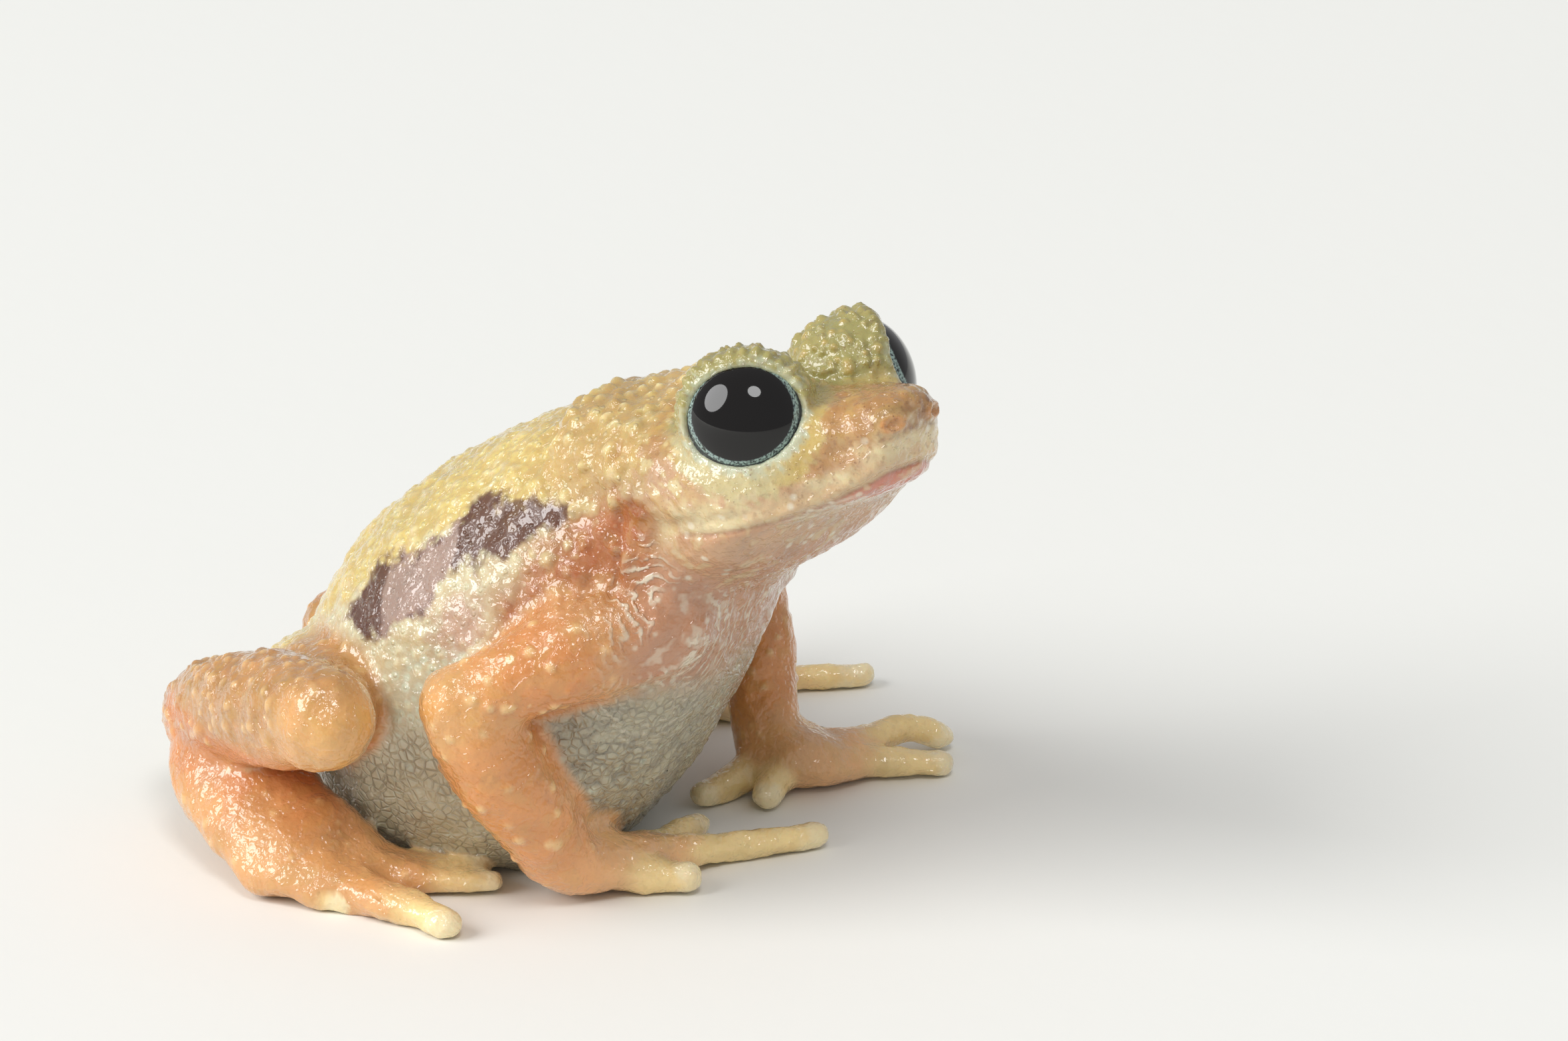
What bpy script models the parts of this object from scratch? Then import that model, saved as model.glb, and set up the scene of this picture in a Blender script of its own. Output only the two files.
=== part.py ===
"""A kihansi spray toad at life size, sitting on its belly with its head turned to its right.

The toad faces -Y with its left side at +X and rests on the floor, z = 0. The origin is the middle of
the belly's rest. Sizes are in millimetres until a mesh is written, and then in metres. The body is
made of smooth lofts, each of them a few cross-sections that a curve runs through, and is divided
where a person would name its parts. Neighbours meet face to face with a thin gap between them.
"""

import math

import bmesh
import bpy
import numpy as np
from mathutils import Matrix, Vector

MM = 0.001
GAP = 0.3
EYE_GAP = 0.15
RIGHT = -1
LEFT = 1

# Torso, from the rump to the neck: y and z of the back, y and z of the belly, half width.
TORSO = [
    (5.4, 3.9, 5.3, 2.7, 0.8),
    (5.1, 5.3, 4.7, 1.4, 2.3),
    (4.3, 7.3, 3.5, 0.1, 3.8),
    (2.8, 9.2, 1.9, -0.7, 4.9),
    (0.6, 11.0, -0.5, -0.9, 5.5),
    (-1.6, 12.35, -3.5, -0.3, 5.5),
    (-3.7, 13.25, -5.7, 2.2, 5.0),
    (-5.1, 13.85, -7.4, 5.4, 4.3),
    (-6.0, 14.4, -8.6, 8.7, 4.05),
    (-6.8, 14.7, -9.3, 10.3, 3.9),
]
TORSO_WIDEST_LEVEL = 0.42
TORSO_SQUARENESS = (2.1, 2.3)
NECK_TOP = (-5.9, 14.6)
NECK_BOTTOM = (-8.9, 8.3)

# Head: its place and how it is turned. Its own axes are forward, left and up, from between the eyes.
HEAD_PLACE = (-0.56, -10.2, 14.7)
HEAD_TURN = 14.0
HEAD_LIFT = 20.0
HEAD_ROLL = 2.5

# Upper jaw and skull: forward at the lip, left, forward at the crown, crown level, lip level, half width.
SKULL = [
    (-6.5, -0.9, -6.5, 1.3, -2.2, 3.1),
    (-4.0, -0.3, -4.0, 0.9, -2.6, 3.85),
    (-1.9, 0.0, -1.9, 0.52, -2.75, 4.3),
    (-0.9, 0.0, -0.7, 0.4, -2.85, 4.2),
    (0.0, 0.0, 0.4, 0.28, -2.88, 3.85),
    (1.0, 0.0, 1.5, 0.08, -2.82, 3.05),
    (1.85, 0.0, 2.4, 0.0, -2.68, 2.3),
    (2.4, 0.0, 3.0, -0.05, -2.52, 1.85),
    (2.85, 0.0, 3.53, -0.12, -2.38, 1.55),
    (3.15, 0.0, 3.85, -0.3, -2.22, 1.3),
    (3.32, 0.0, 3.95, -0.5, -2.06, 1.08),
    (3.42, 0.0, 3.98, -0.8, -1.85, 0.8),
]
SKULL_SQUARENESS = (2.5, 3.0)

# Lower jaw and throat: forward, left, upper level, lower level, half width.
JAW = [
    (-6.5, -0.9, -0.6, -5.4, 3.1),
    (-4.0, -0.3, -1.6, -5.3, 3.7),
    (-3.0, -0.1, -2.0, -4.9, 3.8),
    (-1.0, 0.0, -2.4, -4.25, 3.95),
    (0.3, 0.0, -2.58, -3.3, 3.45),
    (1.3, 0.0, -2.58, -2.98, 2.7),
    (2.2, 0.0, -2.35, -2.88, 1.95),
    (2.8, 0.0, -2.15, -2.7, 1.45),
    (3.15, 0.0, -2.05, -2.45, 1.0),
]
JAW_SQUARENESS = (3.0, 2.2)

# Eyes, lids and nostrils, in the head's axes.
EYE_RADIUS = 1.68
EYE_DEPTH = 1.27
EYE_SIDE = 2.5
EYE_AHEAD = 0.05
EYE_TURN = 38.0
EYE_TILT = 6.0
LID_THICKNESS = 0.24
LID_EDGE = 0.68
LID_SET_BACK = 0.3
NOSTRIL = (3.9, 1.0, -0.95)
NOSTRIL_RADIUS = 0.2

# Arms, from the shoulder over the elbow to the wrist: x, y, z, half width, half thickness.
ARMS = {
    RIGHT: [
        (-2.8, -6.9, 8.4, 1.5, 1.6),
        (-4.6, -5.5, 7.9, 1.4, 1.5),
        (-5.9, -3.8, 7.0, 1.2, 1.2),
        (-6.65, -2.65, 6.35, 1.2, 1.2),
        (-6.1, -3.4, 4.6, 1.4, 1.35),
        (-5.2, -4.1, 2.8, 1.25, 1.2),
        (-4.3, -4.5, 1.3, 1.1, 1.05),
    ],
    LEFT: [
        (2.9, -6.7, 8.3, 1.45, 1.55),
        (4.8, -5.8, 7.8, 1.4, 1.5),
        (6.5, -4.6, 6.8, 1.25, 1.3),
        (7.2, -3.9, 5.9, 1.2, 1.2),
        (7.1, -4.4, 4.6, 1.25, 1.25),
        (6.4, -5.2, 2.9, 1.05, 1.05),
        (5.6, -5.8, 1.4, 0.95, 0.95),
    ],
}
ELBOW = 3

# Palms, from the wrist to the web between the fingers, and the fingers from the palm to their tips.
PALMS = {
    RIGHT: [
        (-4.2, -4.5, 1.2, 1.1, 1.05),
        (-3.2, -5.0, 0.9, 1.25, 0.9),
        (-2.25, -5.65, 0.6, 1.2, 0.6),
        (-1.5, -6.2, 0.4, 0.9, 0.38),
    ],
    LEFT: [
        (5.6, -5.8, 1.3, 0.95, 0.95),
        (5.9, -6.7, 0.95, 1.35, 0.9),
        (6.7, -7.6, 0.62, 1.2, 0.6),
        (7.4, -8.2, 0.42, 0.75, 0.38),
    ],
}
FINGERS = {
    RIGHT: [
        [(-3.1, -4.9, 0.7, 0.8, 0.65), (-1.8, -4.3, 0.48, 0.5, 0.46), (-0.7, -3.9, 0.36, 0.42, 0.38)],
        [(-2.6, -5.2, 0.7, 0.8, 0.65), (-0.6, -5.6, 0.46, 0.48, 0.44), (1.2, -5.9, 0.38, 0.42, 0.4)],
        [
            (-2.7, -5.4, 0.8, 0.85, 0.7),
            (-0.9, -6.6, 0.55, 0.6, 0.5),
            (0.6, -7.95, 0.42, 0.42, 0.42),
            (2.05, -9.2, 0.38, 0.43, 0.4),
        ],
        [
            (-3.3, -5.0, 0.8, 0.8, 0.75),
            (-2.9, -6.1, 0.6, 0.6, 0.55),
            (-2.5, -6.95, 0.46, 0.46, 0.44),
            (-2.35, -7.4, 0.48, 0.5, 0.48),
        ],
    ],
    LEFT: [
        [(5.5, -6.1, 0.8, 0.75, 0.65), (4.2, -5.5, 0.52, 0.5, 0.48), (3.1, -5.1, 0.4, 0.46, 0.42)],
        [(5.5, -6.6, 0.8, 0.75, 0.65), (4.5, -6.6, 0.55, 0.5, 0.5), (3.7, -6.75, 0.42, 0.48, 0.44)],
        [(6.2, -7.2, 0.8, 0.8, 0.6), (7.3, -8.7, 0.5, 0.52, 0.46), (8.2, -10.1, 0.4, 0.46, 0.42)],
        [
            (6.4, -7.1, 0.85, 0.8, 0.6),
            (8.0, -8.0, 0.85, 0.5, 0.46),
            (9.2, -8.75, 0.85, 0.42, 0.42),
            (9.8, -9.3, 0.45, 0.46, 0.42),
        ],
    ],
}

# Hind legs, written for the left side: x, y, z, half width, half thickness.
THIGH = [
    (2.4, 4.2, 4.2, 1.7, 1.6),
    (4.9, 2.6, 4.8, 1.6, 1.5),
    (6.9, 1.4, 5.3, 1.3, 1.3),
    (8.4, 0.7, 5.6, 1.05, 1.05),
]
KNEE = (8.6, 0.4, 6.1, 1.35, 1.45)
HEELS = {RIGHT: (3.6, 7.4, 3.05, 1.2, 1.3), LEFT: (3.7, 7.05, 2.9, 1.2, 1.3)}

# Calf between the knee and the heel: share of the way, bulge outward, rise, half width, half thickness.
CALF = [(0.26, 0.08, 0.2, 1.5, 1.65), (0.6, 0.18, 0.3, 1.45, 1.6), (0.85, 0.25, 0.2, 1.3, 1.45)]

# Long part of each foot, from the heel to the sole.
TARSI = {
    RIGHT: [
        (-4.1, 7.2, 2.6, 0.9, 0.9),
        (-5.0, 6.1, 2.3, 1.5, 1.25),
        (-6.1, 4.2, 1.8, 1.8, 1.05),
        (-6.9, 2.3, 1.1, 2.0, 0.9),
    ],
    LEFT: [
        (4.2, 6.5, 2.4, 0.8, 0.8),
        (5.2, 5.7, 2.2, 1.4, 1.2),
        (6.8, 3.9, 1.7, 1.7, 1.05),
        (8.2, 1.9, 1.1, 1.9, 0.9),
    ],
}
TARSUS_LEAN = 0.5

# Soles with their webs, and the toes.
SOLES = {
    RIGHT: [
        (-6.75, 2.5, 1.05, 1.9, 0.9),
        (-6.6, 1.3, 0.85, 1.8, 0.75),
        (-6.4, 0.3, 0.5, 1.6, 0.45),
        (-6.2, -0.4, 0.3, 1.3, 0.26),
    ],
    LEFT: [
        (8.1, 2.1, 1.05, 1.8, 0.85),
        (8.5, 0.8, 0.8, 1.75, 0.7),
        (9.0, -0.4, 0.48, 1.6, 0.42),
        (9.5, -1.3, 0.3, 1.3, 0.26),
    ],
}
SOLE_LEAN = 0.3
TOES = {
    RIGHT: [
        [(-6.1, 1.5, 0.8, 0.6, 0.55), (-5.0, 0.2, 0.45, 0.42, 0.4), (-4.3, -0.9, 0.34, 0.36, 0.34)],
        [(-6.2, 1.3, 0.8, 0.7, 0.6), (-5.2, -0.4, 0.46, 0.46, 0.42), (-4.4, -1.9, 0.36, 0.4, 0.36)],
        [(-6.4, 1.2, 0.8, 0.7, 0.6), (-5.7, -0.9, 0.46, 0.46, 0.42), (-4.8, -2.6, 0.36, 0.42, 0.36)],
        [
            (-7.2, 1.4, 0.75, 0.85, 0.62),
            (-7.45, -0.5, 0.5, 0.72, 0.52),
            (-7.65, -1.7, 0.44, 0.6, 0.46),
            (-8.0, -2.95, 0.4, 0.46, 0.4),
        ],
        [(-7.4, 1.9, 0.6, 0.6, 0.5), (-7.65, 1.2, 0.42, 0.5, 0.42), (-7.85, 0.6, 0.36, 0.42, 0.36)],
    ],
    LEFT: [
        [(8.0, 1.3, 0.8, 0.6, 0.55), (7.9, -0.1, 0.45, 0.42, 0.4), (7.8, -1.0, 0.34, 0.36, 0.34)],
        [(8.2, 1.1, 0.8, 0.7, 0.6), (8.1, -0.6, 0.46, 0.46, 0.42), (8.0, -2.1, 0.36, 0.4, 0.36)],
        [(8.5, 1.0, 0.8, 0.7, 0.6), (8.8, -1.1, 0.46, 0.46, 0.42), (8.9, -3.1, 0.36, 0.42, 0.36)],
        [
            (8.9, 0.8, 0.8, 0.8, 0.6),
            (10.3, -1.3, 0.5, 0.55, 0.46),
            (11.7, -3.3, 0.4, 0.46, 0.4),
            (13.0, -5.2, 0.38, 0.42, 0.38),
        ],
        [(9.0, 1.1, 0.7, 0.6, 0.5), (10.8, 0.0, 0.4, 0.44, 0.38), (12.4, -1.2, 0.36, 0.4, 0.36)],
    ],
}

# Sections round a trunk, a limb and a digit, and the steps of a rounded end in degrees.
TRUNK_SIDES = 26
LIMB_SIDES = 14
DIGIT_SIDES = 8
EYE_SIDES = 20
NOSTRIL_SIDES = 10
DOME_STEPS = (30.0, 58.0, 80.0)

# Colours, linear.
BACK_YELLOW = (0.80, 0.58, 0.15)
HEAD_TAN = (0.55, 0.32, 0.13)
LIMB_ORANGE = (0.69, 0.27, 0.11)
DIGIT_YELLOW = (0.69, 0.48, 0.14)
EYE_BLACK = (0.006, 0.005, 0.005)


def unit(vectors):
    return vectors / np.linalg.norm(vectors, axis=-1, keepdims=True)


def smooth_rows(stations, count):
    """Rows read at even steps along a smooth curve through the stations, by their first three values."""
    rows = np.array(stations, float)
    steps = np.linalg.norm(np.diff(rows[:, :3], axis=0), axis=1)
    at = np.concatenate([[0.0], np.cumsum(steps)])
    slope = np.gradient(rows, at, axis=0)
    wanted = np.linspace(0.0, at[-1], count)
    i = np.clip(np.searchsorted(at, wanted, side="right") - 1, 0, len(at) - 2)
    span = (at[i + 1] - at[i])[:, None]
    u = (wanted - at[i])[:, None] / span
    start = (1 + 2 * u) * (1 - u) ** 2 * rows[i] + u * (1 - u) ** 2 * span * slope[i]
    end = u * u * (3 - 2 * u) * rows[i + 1] + u * u * (u - 1) * span * slope[i + 1]
    return start + end


def oval(sides, squareness):
    """Unit closed curve: across and up at even angles. Squareness, above and below, is 2 for an ellipse."""
    angle = np.linspace(0.0, 2 * np.pi, sides, endpoint=False)
    across, up = np.cos(angle), np.sin(angle)
    power = np.where(up >= 0, 2 / squareness[0], 2 / squareness[1])
    return np.sign(across) * np.abs(across) ** power, np.sign(up) * np.abs(up) ** power


def rounded_ends(rows):
    """Adds rows that shrink like a dome before the first row and after the last."""
    domes = []
    for edge, inner in ((rows[0], rows[1]), (rows[-1], rows[-2])):
        out = unit(edge[:3] - inner[:3]) * min(edge[3], edge[4])
        dome = []
        for step in DOME_STEPS:
            row = edge.copy()
            row[:3] += out * math.sin(math.radians(step))
            row[3:5] *= math.cos(math.radians(step))
            dome.append(row)
        domes.append(np.array(dome))
    return np.concatenate([domes[0][::-1], rows, domes[1]])


def tube_rings(stations, upward, count, sides=LIMB_SIDES, grow=0.0):
    """Rings square to a smooth path with round ends. Their height lies as near upward as it can."""
    rows = smooth_rows(stations, count)
    rows[:, 3:5] += grow
    rows = rounded_ends(rows)
    along = unit(np.gradient(rows[:, :3], axis=0))
    side = unit(np.cross(along, np.array(upward, float)))
    up = np.cross(side, along)
    across, rise = oval(sides, (2.0, 2.0))
    return (
        rows[:, None, :3]
        + (rows[:, 3:4] * across)[:, :, None] * side[:, None, :]
        + (rows[:, 4:5] * rise)[:, :, None] * up[:, None, :]
    )


def new_object(name, bm):
    """An object of the mesh, in millimetres before and metres after, with its faces turned out."""
    bmesh.ops.scale(bm, vec=(MM, MM, MM), verts=bm.verts)
    bmesh.ops.recalc_face_normals(bm, faces=bm.faces)
    mesh = bpy.data.meshes.new(name)
    bm.to_mesh(mesh)
    bm.free()
    obj = bpy.data.objects.new(name, mesh)
    bpy.context.scene.collection.objects.link(obj)
    return obj


def loft(name, rings):
    """A closed object: the rings bridged one to the next and a face over each end."""
    bm = bmesh.new()
    loops = [[bm.verts.new(point) for point in ring] for ring in rings]
    edges = [[bm.edges.new(pair) for pair in zip(ring, ring[1:] + ring[:1])] for ring in loops]
    for first, second in zip(edges, edges[1:]):
        bmesh.ops.bridge_loops(bm, edges=first + second)
    bm.faces.new(loops[0])
    bm.faces.new(loops[-1])
    return new_object(name, bm)


def ball(name, centre, radii, axes, sides):
    """An ellipsoid with its pole along the last of its axes."""
    bm = bmesh.new()
    bmesh.ops.create_uvsphere(bm, u_segments=sides, v_segments=sides // 2 + 2, radius=1.0)
    turned = np.array(axes).T * np.array(radii)
    place = Matrix.Translation(Vector(centre)) @ Matrix(turned.tolist()).to_4x4()
    bmesh.ops.transform(bm, matrix=place, verts=bm.verts)
    return new_object(name, bm)


def keep_largest_surface(mesh):
    """Keeps the closed surface with the most faces, which drops a scrap that a cut leaves."""
    bm = bmesh.new()
    bm.from_mesh(mesh)
    bmesh.ops.remove_doubles(bm, verts=bm.verts, dist=1e-7)
    left = set(bm.faces)
    surfaces = []
    while left:
        found = {left.pop()}
        front = set(found)
        while front:
            front = {near for face in front for edge in face.edges for near in edge.link_faces} & left
            left -= front
            found |= front
        surfaces.append(found)
    surfaces.sort(key=len)
    scraps = [face for surface in surfaces[:-1] for face in surface]
    bmesh.ops.delete(bm, geom=scraps, context="FACES")
    bm.to_mesh(mesh)
    bm.free()


def combine(obj, others, operation):
    """One Boolean of the object with all the others, applied, with the others then removed."""
    group = bpy.data.collections.new(obj.name + "_group")
    bpy.context.scene.collection.children.link(group)
    for other in others:
        bpy.context.scene.collection.objects.unlink(other)
        group.objects.link(other)
    modifier = obj.modifiers.new(operation.title(), "BOOLEAN")
    modifier.operation = operation
    modifier.solver = "EXACT"
    modifier.operand_type = "COLLECTION"
    modifier.collection = group
    graph = bpy.context.evaluated_depsgraph_get()
    mesh = bpy.data.meshes.new_from_object(obj.evaluated_get(graph))
    obj.modifiers.clear()
    obj.data = mesh
    for other in others:
        bpy.data.objects.remove(other)
    bpy.data.collections.remove(group)
    keep_largest_surface(obj.data)
    return obj


def keep_side(obj, point, normal):
    """Cuts the object flat with a plane, keeps what the normal points to, and closes the cut."""
    bm = bmesh.new()
    bm.from_mesh(obj.data)
    cut = bmesh.ops.bisect_plane(
        bm,
        geom=bm.verts[:] + bm.edges[:] + bm.faces[:],
        dist=1e-8,
        plane_co=Vector(point) * MM,
        plane_no=Vector(normal),
        clear_inner=True,
    )
    rim = [piece for piece in cut["geom_cut"] if isinstance(piece, bmesh.types.BMEdge)]
    bmesh.ops.holes_fill(bm, edges=rim)
    bmesh.ops.recalc_face_normals(bm, faces=bm.faces)
    bm.to_mesh(obj.data)
    bm.free()
    return obj


def head_axes():
    """Forward, left and up of the head, as unit vectors of the body's frame."""
    turn, lift, roll = (math.radians(angle) for angle in (HEAD_TURN, HEAD_LIFT, HEAD_ROLL))
    ahead = [-math.sin(turn) * math.cos(lift), -math.cos(turn) * math.cos(lift), math.sin(lift)]
    forward = np.array(ahead)
    level = np.array([math.cos(turn), -math.sin(turn), 0.0])
    left = math.cos(roll) * level - math.sin(roll) * np.cross(forward, level)
    return np.array([forward, left, np.cross(forward, left)])


def in_head(points):
    """Head positions, forward, left and up, as positions of the body's frame."""
    return np.array(HEAD_PLACE) + np.asarray(points, float) @ head_axes()


def torso_rings(grow=0.0):
    rows = []
    for back_y, back_z, belly_y, belly_z, width in TORSO:
        middle = ((back_y + belly_y) / 2, (back_z + belly_z) / 2)
        rows.append((0.0, *middle, (back_y - belly_y) / 2, (back_z - belly_z) / 2, width))
    across, rise = oval(TRUNK_SIDES, TORSO_SQUARENESS)
    above, below = 2 - 2 * TORSO_WIDEST_LEVEL, 2 * TORSO_WIDEST_LEVEL
    rings = []
    for _, y, z, half_y, half_z, width in smooth_rows(rows, 24):
        half = math.hypot(half_y, half_z)
        level = rise * (half * np.where(rise >= 0, above, below) + grow) - half * (1 - below)
        sideways = across * (width + grow)
        rings.append(np.stack([sideways, y + level * half_y / half, z + level * half_z / half], axis=1))
    return rings


def upper_arm_rings(side, grow=0.0):
    return tube_rings(ARMS[side][: ELBOW + 1], (0, 0, 1), 9, grow=grow)


def forearm_rings(side, grow=0.0):
    return tube_rings(ARMS[side][ELBOW:], (0, -1, 0), 9, grow=grow)


def thigh_rings(side):
    stations = [(side * x, *rest) for x, *rest in THIGH]
    return tube_rings(stations, (0, 0, 1), 9)


def shank_rings(side, grow=0.0):
    knee, heel = np.array(KNEE), np.array(HEELS[side])
    stations = [knee]
    for share, outward, rise, across, thick in CALF:
        x, y, z = (knee + share * (heel - knee))[:3]
        stations.append((x + outward, y, z + rise, across, thick))
    stations.append(heel)
    return tube_rings([(side * x, *rest) for x, *rest in stations], (0, 0, 1), 11, grow=grow)


def tarsus_rings(side, grow=0.0):
    return tube_rings(TARSI[side], (side * TARSUS_LEAN, 0, 1), 10, grow=grow)


def hand(side):
    """Palm and four fingers, joined: each finger runs from inside the palm over its knuckle to its tip."""
    fingers = [loft("finger", tube_rings(finger, (0, 0, 1), 8, DIGIT_SIDES)) for finger in FINGERS[side]]
    return combine(loft("palm", tube_rings(PALMS[side], (0, 0, 1), 9)), fingers, "UNION")


def foot(side):
    """Sole and five toes, joined. The sole leans up on the side toward the belly."""
    toes = [loft("toe", tube_rings(toe, (0, 0, 1), 8, DIGIT_SIDES)) for toe in TOES[side]]
    sole = loft("sole", tube_rings(SOLES[side], (side * SOLE_LEAN, 0, 1), 8))
    return combine(sole, toes, "UNION")


def skull_rings():
    across, rise = oval(TRUNK_SIDES, SKULL_SQUARENESS)
    rings = []
    for ahead, left, crown_ahead, crown, lip, width in smooth_rows(SKULL, 22):
        level = lip + 0.3 * (crown - lip)
        height = level + rise * np.where(rise >= 0, crown - level, level - lip)
        forward = ahead + (crown_ahead - ahead) * (height - lip) / (crown - lip)
        rings.append(in_head(np.stack([forward, left + across * width, height], axis=1)))
    return rings


def jaw_rings():
    across, rise = oval(TRUNK_SIDES, JAW_SQUARENESS)
    rings = []
    for ahead, left, top, bottom, width in smooth_rows(JAW, 18):
        level = top - 0.25 * (top - bottom)
        height = level + rise * np.where(rise >= 0, top - level, level - bottom)
        section = [np.full(TRUNK_SIDES, ahead), left + across * width, height]
        rings.append(in_head(np.stack(section, axis=1)))
    return rings


def eye_axes(side):
    """Two axes across the eye and the axis it looks along, in the body's frame."""
    turn, tilt = math.radians(EYE_TURN), math.radians(EYE_TILT)
    look = np.array([math.sin(turn) * math.cos(tilt), side * math.cos(turn) * math.cos(tilt), math.sin(tilt)])
    along = unit(np.cross([0.0, 0.0, 1.0], look))
    return np.array([along, np.cross(look, along), look]) @ head_axes()


def eye_centre(side):
    return in_head((EYE_AHEAD, side * EYE_SIDE, 0.0))


def eyeball(side, grow=0.0):
    radii = (EYE_RADIUS + grow, EYE_RADIUS + grow, EYE_DEPTH + grow)
    return ball("eye", eye_centre(side), radii, eye_axes(side), EYE_SIDES)


def lids(side):
    """Both lids of an eye: a dome over it, cut off square to the eye's axis at the lids' edge."""
    axes = eye_axes(side)
    radius = EYE_RADIUS + LID_THICKNESS
    radii = (radius, radius, radius + LID_SET_BACK)
    dome = ball("lids", eye_centre(side) - LID_SET_BACK * axes[2], radii, axes, EYE_SIDES)
    return keep_side(dome, eye_centre(side) + LID_EDGE * axes[2], -axes[2])


def head():
    """Skull, lower jaw and lids joined. The jaw is set in below the lip, which makes the mouth's line."""
    body = loft("skull", skull_rings())
    combine(body, [loft("jaw", jaw_rings()), lids(RIGHT), lids(LEFT)], "UNION")
    ahead, across, up = NOSTRIL
    cutters = []
    for side in (RIGHT, LEFT):
        place = in_head((ahead, side * across, up))
        cutters.append(eyeball(side, EYE_GAP))
        cutters.append(ball("nostril", place, [NOSTRIL_RADIUS] * 3, head_axes(), NOSTRIL_SIDES))
    return combine(body, cutters, "DIFFERENCE")


def finish(obj, name, colour, roughness=0.4):
    """Gives the object its name and a material of its own."""
    material = bpy.data.materials.new(name)
    material.use_nodes = True
    shader = material.node_tree.nodes["Principled BSDF"]
    shader.inputs["Base Color"].default_value = (*colour, 1.0)
    shader.inputs["Roughness"].default_value = roughness
    shader.inputs["Metallic"].default_value = 0.0
    obj.name = name
    obj.data.name = name
    obj.data.materials.clear()
    obj.data.materials.append(material)
    obj.data.shade_smooth()
    obj.data.set_sharp_from_angle(angle=math.radians(40))


def limb_part(name, body, neighbours, colour):
    """Cuts the neighbours' grown forms from a part of a limb, and what is below the floor, and finishes it."""
    combine(body, [loft("cut", rings) for rings in neighbours], "DIFFERENCE")
    if min(vert.co.z for vert in body.data.vertices) < 0:
        keep_side(body, (0, 0, 0), (0, 0, 1))
    finish(body, name, colour)


def build_trunk():
    top, bottom = np.array([0.0, *NECK_TOP]), np.array([0.0, *NECK_BOTTOM])
    middle = (top + bottom) / 2
    ahead = unit(np.cross(bottom - top, [1.0, 0.0, 0.0]))
    torso = keep_side(loft("torso", torso_rings()), middle - ahead * GAP / 2, -ahead)
    keep_side(torso, (0, 0, 0), (0, 0, 1))
    finish(torso, "torso", BACK_YELLOW)
    finish(keep_side(head(), middle + ahead * GAP / 2, ahead), "head", HEAD_TAN)


def build_side(side, word):
    torso = torso_rings(GAP)
    upper_arm, forearm = upper_arm_rings(side, GAP), forearm_rings(side, GAP)
    shank, tarsus = shank_rings(side, GAP), tarsus_rings(side, GAP)
    finish(eyeball(side), "eye_" + word, EYE_BLACK, 0.05)
    limb_part("upper_arm_" + word, loft("arm", upper_arm_rings(side)), [torso], LIMB_ORANGE)
    limb_part("forearm_" + word, loft("arm", forearm_rings(side)), [upper_arm, torso], LIMB_ORANGE)
    limb_part("hand_" + word, hand(side), [forearm, torso], DIGIT_YELLOW)
    limb_part("thigh_" + word, loft("leg", thigh_rings(side)), [torso, shank], LIMB_ORANGE)
    limb_part("shank_" + word, loft("leg", shank_rings(side)), [torso], LIMB_ORANGE)
    limb_part("tarsus_" + word, loft("leg", tarsus_rings(side)), [torso, shank], LIMB_ORANGE)
    limb_part("foot_" + word, foot(side), [tarsus, torso], DIGIT_YELLOW)


for old in list(bpy.data.objects):
    bpy.data.objects.remove(old)
build_trunk()
build_side(RIGHT, "right")
build_side(LEFT, "left")
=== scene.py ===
"""Looks of a kihansi spray toad at life size: one wet warty skin, two dark eyes and a pale floor.

The toad faces -Y with its left side at +X and sits on the floor, z = 0. Lengths are in millimetres until
a mesh is written, and then in metres. The skin is made of smooth closed grids, one for each form of the
body, which are fused, relaxed and then raised and pressed by formulas for lids, lips, folds and warts.
"""

import functools
import math
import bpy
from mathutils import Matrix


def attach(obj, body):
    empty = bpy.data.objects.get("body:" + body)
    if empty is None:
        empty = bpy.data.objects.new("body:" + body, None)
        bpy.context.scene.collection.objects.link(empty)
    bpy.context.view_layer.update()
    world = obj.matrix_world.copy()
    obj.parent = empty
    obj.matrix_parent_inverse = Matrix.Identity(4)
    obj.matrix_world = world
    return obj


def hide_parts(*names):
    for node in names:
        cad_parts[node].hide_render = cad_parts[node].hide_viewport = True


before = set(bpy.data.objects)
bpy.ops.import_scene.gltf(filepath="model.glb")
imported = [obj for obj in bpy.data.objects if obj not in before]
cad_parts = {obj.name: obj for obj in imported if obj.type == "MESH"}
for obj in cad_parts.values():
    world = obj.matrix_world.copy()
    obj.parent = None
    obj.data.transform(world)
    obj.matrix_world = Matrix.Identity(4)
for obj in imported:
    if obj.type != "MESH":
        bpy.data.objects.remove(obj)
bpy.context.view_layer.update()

import types

import bpy
import numpy as np
from mathutils import Matrix

bl_info = {
    "name": "Kihansi spray toad",
    "version": (1, 0, 0),
    "blender": (4, 5, 0),
    "location": "3D view > Sidebar > Toad",
    "description": "Builds the skin and the eyes of a kihansi spray toad, and its pale stage",
    "category": "Add Mesh",
}

MM = 0.001
RIGHT = -1
LEFT = 1
SIDE_WORDS = {RIGHT: "right", LEFT: "left"}
UP = (0.0, 0.0, 1.0)

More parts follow.
